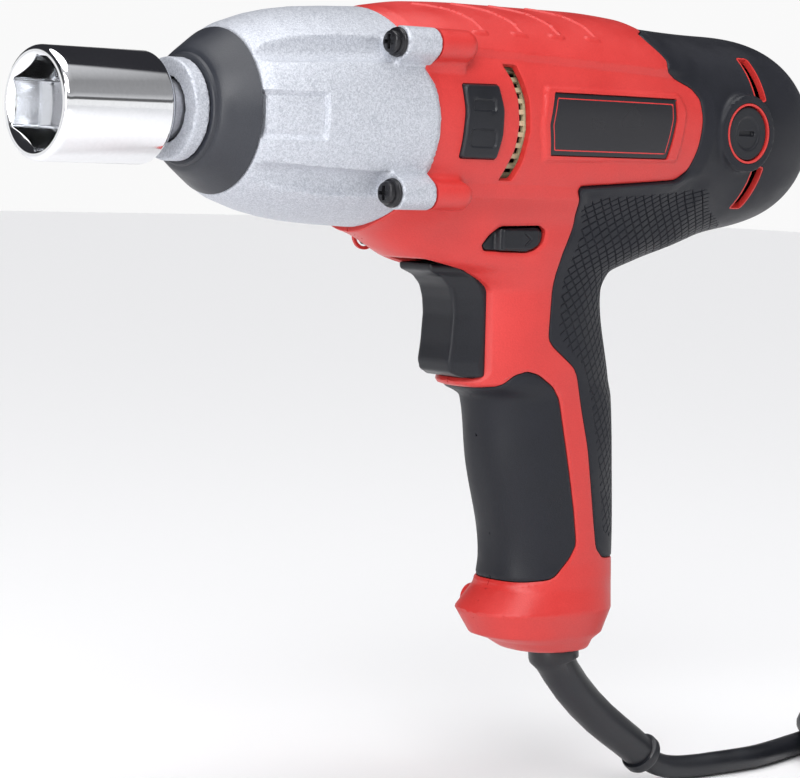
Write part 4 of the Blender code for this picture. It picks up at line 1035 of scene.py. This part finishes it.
def make_nose():
    skin = surface_net(nose, (42.6, -37.4, -33.8), (119.6, 37.4, 33.8), 0.8 * DETAIL)
    points, faces = carved(*skin, steps(nose_recess, 0.0, -1.2))
    outer = np.hypot(points[:, 1], points[:, 2]) > np.interp(points[:, 0], *np.array(NOSE_BORE).T) + 0.5
    sunk = -1.5 * ramp(-nose_recess(points), 0.0, 1.2) * outer
    points = points + unit(gradient(nose, points)) * sunk[:, None]
    finished("nose_casting", points, faces, "cast_alloy", node="nose_housing", sharp=40.0)
    finished("nose_bumper_ring", *revolved(BUMPER, 96), "bumper_rubber", node="nose_bumper")
    head = surface_net(screw_head, (99.9, -4.0, -4.0), (104.4, 4.0, 4.0), 0.28 * DETAIL)
    screw, screw_faces = joined(head, revolved(WASHER, 40))
    for corner, (side, level) in LUG_PLACES.items():
        finished("nose_bolt_" + corner, screw + (0.0, side * LUG_Y, level * LUG_Z), screw_faces, "screw_black",
                 node="nose_screw_" + corner, sharp=40.0)


def screw_head(points):
    u, y, z = points.T
    r = np.hypot(y, z)
    head = both(both(r - 3.3, 100.7 + 0.05 * r * r - u, 0.6), u - 103.4, 0.2)
    along, up = np.abs(y), np.abs(z)
    cross = np.minimum(np.maximum(along - 0.55, up - 2.1), np.maximum(up - 0.55, along - 2.1))
    return both(head, -both(cross, u - 102.3, 0.2), 0.15)


# ---------------------------------------------------------------- socket and anvil
def make_socket():
    """Rows of one closed skin: outside, front face, lead-in, hexagon, floor and the drive square."""
    sides = 360
    degrees = np.arange(sides) * 360.0 / sides
    angle = np.radians(degrees)
    turn = (degrees + 30.0) % 60.0 - 30.0
    hexagon = np.minimum(11.5 / np.cos(np.radians(turn)), 13.05)
    quarter = (degrees + 45.0) % 90.0 - 45.0
    square = np.minimum(6.55 / np.cos(np.radians(quarter)), 8.4)
    edge = (13.75 - hexagon) / 1.2
    rows = [(38.0, 13.0), (38.0, 13.4), (37.7, 13.9), (35.9, 15.6), (35.4, 15.9), (34.9, 16.0), (2.6, 16.0),
            (1.9, 15.97), (1.3, 15.85), (0.8, 15.6), (0.3, 15.2), (0.08, 14.9), (0.0, 14.6), (0.0, 13.95),
            (0.03, 13.82), (0.12, 13.7), (edge - 0.1, hexagon + 0.12), (edge + 0.05, hexagon + 0.02),
            (edge + 0.3, hexagon), (19.2, hexagon), (19.8, hexagon - 0.2), (20.0, hexagon - 0.7), (20.0, 8.8),
            (20.0, square + 0.2), (20.2, square), (37.4, square), (37.9, square + 0.5)]
    rings = []
    for u, radius in rows:
        u, radius = np.broadcast_to(u, sides), np.broadcast_to(radius, sides)
        rings.append(np.column_stack([u, radius * np.cos(angle), radius * np.sin(angle)]))
    points = np.concatenate(rings)
    faces = outward(points, ring_faces(len(rows), sides))
    finished("socket_body", points, faces, "chrome", "socket", "socket", sharp=22.0)


def make_anvil_sleeve():
    journal = [(38.2, 7.6), (38.2, 8.3), (38.7, 8.78), (40.2, 8.82), (40.3, 8.5), (41.0, 8.5), (41.1, 8.82),
               (66.5, 8.82), (66.5, 7.6)]
    finished("anvil_journal", *revolved(journal, 96), "steel", "anvil")


# ---------------------------------------------------------------- trigger and direction lever
FINGER = [(139.4, -43.2), (139.6, -45.4), (144.6, -47.3), (147.6, -50.2), (149.0, -54.0), (149.6, -59.0),
          (149.0, -68.0), (148.2, -73.5), (149.2, -76.6), (153.0, -78.2), (160.5, -78.2), (160.5, -43.2)]
FINGER_LOOP = smooth_loop(FINGER, 2.0)
LEVER = [(150.2, -36.8), (155.4, -31.9), (170.2, -31.4), (172.4, -33.0), (171.6, -36.2), (166.4, -38.8),
         (151.2, -38.4)]
LEVER_LOOP = smooth_loop(LEVER, 1.5)


def trigger(points):
    u, y, z = points.T
    front = np.interp(z, [-78.0, -73.5, -68.0, -59.0, -54.0, -50.2, -47.3, -45.4, -43.2],
                      [149.2, 148.2, 149.0, 149.6, 149.0, 147.6, 144.6, 139.6, 139.4])
    outline = loop_distance(np.column_stack([u, z]), FINGER_LOOP)
    width = 7.7 + 3.3 * ramp(u - front, 1.5, 9.0)
    shape = both(outline, np.abs(y) - width, 1.3)
    pocket = both(np.hypot(y, z + 60.0) - 4.4, 152.6 - u, 0.3)
    return both(both(shape, -pocket, 0.3), u - 160.4, 0.4)


def lever(points):
    """One of the lever's two paddles, with a sunk front third and an arrow on the rest."""
    u, y, z = points.T
    outline = loop_distance(np.column_stack([u, z]), LEVER_LOOP)
    top = 21.3 + 0.5 * ramp(u, 156.0, 172.0) - 2.2 * (1 - ease(u, 154.6, 156.0))
    block = rounded_box(u - 163.6, z + 35.1, 7.0, 3.0, 0.8)
    top = top - 0.45 * ease(block, -0.25, 0.25)
    arrow = np.abs(u - 167.6 + 1.25 * np.abs(z + 35.0))
    top = top - 0.35 * (1 - ramp(arrow, 0.25, 0.55)) * (np.abs(z + 35.0) < 1.9)
    return both(both(outline, np.abs(y) - top, 0.4), 16.8 - np.abs(y), 0.2)


def make_controls():
    points, faces = surface_net(trigger, (138.2, -12.0, -79.4), (161.4, 12.0, -42.2), 0.55 * DETAIL)
    finished("trigger_blade", points, faces, "black_plastic", "trigger", "trigger", sharp=40.0)
    points, faces = surface_net(lever, (149.2, -22.6, -39.8), (173.4, -16.2, -30.4), 0.3 * DETAIL)
    bar = np.array([(u, y, z) for u in (157.0, 165.0) for y in (-17.0, 17.0) for z in (-37.0, -33.4)])
    whole = joined(mirrored(points, faces), (bar, outward(bar, BOX_FACES)))
    finished("direction_paddles", *whole, "black_plastic", "direction_lever", "direction_lever", sharp=40.0)


# ---------------------------------------------------------------- air baffle, brush caps, springs
SLATS = 54
SLAT_TURN = 0.024               # half the width of a slat, radians


def make_baffle():
    """A slatted ring behind the side vents."""
    shapes = [revolved([(low, 27.6), (low, 28.9), (high, 28.9), (high, 27.6)], 96)
              for low, high in ((141.0, 144.5), (155.5, 158.0))]
    for middle in round_angles(SLATS):
        bar = np.array([(u, r * math.cos(middle + turn), r * math.sin(middle + turn))
                        for u in (144.0, 156.0) for r in (27.7, 29.0) for turn in (-SLAT_TURN, SLAT_TURN)])
        shapes.append((bar, outward(bar, BOX_FACES)))
    finished("vent_slats", *joined(*shapes), "cream_plastic", node="air_baffle")


def brush_cap(points):
    u, y, z = points.T
    r = np.hypot(u - BRUSH_U, z)
    top = 32.6 - 0.5 * (1 - ease(r, 4.9, 5.6)) * (r < 9.0)
    cap = both(both(r - 8.6, y - top, 0.6), 27.3 - y, 0.2)
    slot_room = both(rounded_box(u - BRUSH_U, z, 3.6, 0.75, 0.4), 31.0 - y, 0.1)
    return both(cap, -slot_room, 0.2)


def make_caps_and_springs():
    points, faces = surface_net(brush_cap, (240.6, 26.6, -9.6), (260.4, 33.4, 9.6), 0.36 * DETAIL)
    for side, sign in SIDES:
        place = points * (1.0, sign, 1.0)
        finished("cap_" + side, place, outward(place, faces), "black_plastic", node="brush_cap_" + side,
                 sharp=40.0)
    springs = {
        "hammer": (coil(15.5, 1.5, 4.5, 85.9, 102.9), "camshaft", "hammer_retract", (102.9, 0.0, 0.0), 0.47),
        "trigger": (coil(3.2, 0.5, 5.5, 153.2, 169.0, -60.0), "tool_body", "trigger_slide",
                    (169.0, 0.0, -60.0), 0.45),
    }
    for name, (shape, body_name, joint, seat, keep) in springs.items():
        spring = finished(name + "_coil", *shape, "steel", body_name, name + "_spring", "spring_steel", 60.0)
        tuple(world([seat])[0])
        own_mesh(spring)


# ---------------------------------------------------------------- boot, plug and tie
# Centreline and radius of the boot: u, z, radius
BOOT = [(204.9, -148.0, 4.3), (204.9, -158.5, 4.3), (204.9, -158.6, 8.0), (204.9, -160.4, 8.0),
        (204.9, -160.6, 6.3), (204.9, -166.8, 6.3), (204.9, -167.1, 7.9), (204.9, -167.7, 8.2),
        (205.2, -170.6, 8.2), (205.3, -171.0, 8.0), (205.4, -171.4, 6.5), (208.6, -175.6, 6.3),
        (213.8, -181.4, 6.2), (220.0, -187.2, 6.1), (227.0, -192.8, 6.0), (234.0, -197.6, 5.9),
        (241.0, -202.2, 5.8), (246.2, -205.8, 5.7), (246.4, -206.0, 6.6), (246.8, -206.3, 6.9),
        (248.4, -207.5, 6.9), (248.9, -207.85, 6.6)]


def make_boot():
    rows = np.array(BOOT)
    path = np.column_stack([rows[:, 0], np.zeros(len(rows)), rows[:, 1]])
    points, faces = swept(path, rows[:, 2], 48)
    finished("cord_sleeve", points, faces, "cord_rubber", node="cord_boot", sharp=50.0)


def plug_shell(points):
    u, y, z = points.T
    along = PLUG_ENTRY[0] - u
    across = np.interp(along, [0.0, 12.0, 17.0, 26.0, 45.0, 48.0], [5.2, 6.5, 12.0, 16.4, 17.0, 16.4])
    high = np.interp(along, [0.0, 12.0, 17.0, 26.0, 45.0, 48.0], [5.2, 6.0, 7.6, 8.4, 8.4, 8.0])
    aside, up = np.abs(y - PLUG_ENTRY[1]) / across, np.abs(z - PLUG_ENTRY[2]) / high
    value = (aside ** 2.8 + up ** 2.8) ** (1 / 2.8)
    shape = both(high * (value - 1.0), np.abs(along - 24.0) - 24.0, 1.5)
    grip = np.abs(((along - 19.0) % 4.0) - 2.0) - 0.7
    grip = np.where((along > 19.0) & (along < 39.0) & (value > 0.8), grip, 1.0)
    return np.where(grip < 0, shape + 0.5 * ramp(-grip, 0.0, 0.4), shape)


def make_plug_and_tie():
    low = (PLUG_ENTRY[0] - 49.0, PLUG_ENTRY[1] - 18.5, PLUG_ENTRY[2] - 9.6)
    high = (PLUG_ENTRY[0] + 1.0, PLUG_ENTRY[1] + 18.5, PLUG_ENTRY[2] + 9.6)
    points, faces = surface_net(plug_shell, low, high, 0.8 * DETAIL)
    finished("plug_housing", points, faces, "black_plastic", node="plug", sharp=40.0)
    pins = []
    for side in (-9.5, 9.5):
        end = PLUG_ENTRY[0] - 48.0
        places = [(end + 2.0, 2.4), (end - 18.0, 2.4), (end - 18.6, 2.2), (end - 19.0, 1.4)]
        path = [(u, PLUG_ENTRY[1] + side, PLUG_ENTRY[2]) for u, _ in places]
        pins.append(swept(path, [radius for _, radius in places], 32))
    finished("plug_pins", *joined(*pins), "steel")
    turns = np.array([(u, y, z) for u, y, z in coil_line()[:-14]
                      if abs(y - COIL_CENTRE[1]) < 9.0 and u < COIL_CENTRE[0]])
    places = turns[:, [0, 2]]
    angle = round_angles(72)
    look = np.column_stack([np.cos(angle), np.sin(angle)])
    hull = places[np.argmax(places @ look.T, axis=0)]
    rings = []
    for reach, half in ((4.1, 3.9), (4.1, -3.9), (4.8, -3.9), (4.8, 3.9)):
        loop = hull + look * reach
        loop[:, 1] = np.maximum(loop[:, 1], CORD_LEVEL - CORD_RADIUS + (0.02 if reach > 4.5 else 0.5))
        rings.append(np.column_stack([loop[:, 0], np.full(72, COIL_CENTRE[1] + half), loop[:, 1]]))
    points = np.stack(rings, axis=1).reshape(-1, 3)
    finished("cord_strap", points, outward(points, ring_faces(72, 4)), "black_plastic", node="coil_tie")


# ---------------------------------------------------------------- inner pieces
# CAD nodes that keep their own meshes, by their finish and slot
INNER_NODES = {
    ("steel", "steel"): "anvil hammer cam_shaft planet_gear_1 planet_gear_2 planet_gear_3 ring_gear "
                        "front_bearing rear_bearing armature_shaft",
    ("steel", "spring_steel"): "retaining_ring brush_spring_left brush_spring_right",
    ("chrome", "steel"): "cam_ball_1 cam_ball_2",
    ("bronze", "bronze"): "front_bush brush_holder_left brush_holder_right",
    ("cast_alloy", "cast_alloy"): "gear_case_cover",
    ("laminations", "laminations"): "armature_core field_stator",
    ("copper", "copper"): "commutator",
    ("carbon", "carbon"): "carbon_brush_left carbon_brush_right",
    ("black_plastic", "black_plastic"): "cooling_fan switch_body cord_clamp",
    ("cream_plastic", "cream_plastic"): "capacitor",
    ("screw_black", "screw_black"): "shell_screw_1 shell_screw_2 shell_screw_3",
}


def dress_inner_nodes():
    for (finish, slot), names in INNER_NODES.items():
        for name in names.split():
            node = frame["nodes"][name]
            node.data.materials.clear()
            node.data.materials.append(MAT[finish])


make_camera()
make_studio()
flex = make_cord()
make_body()
make_screw_tubes()
make_nose()
make_socket()
make_anvil_sleeve()
make_controls()
make_baffle()
make_caps_and_springs()
make_boot()
make_plug_and_tie()
dress_inner_nodes()
tuple(world(CORD[:1])[0])
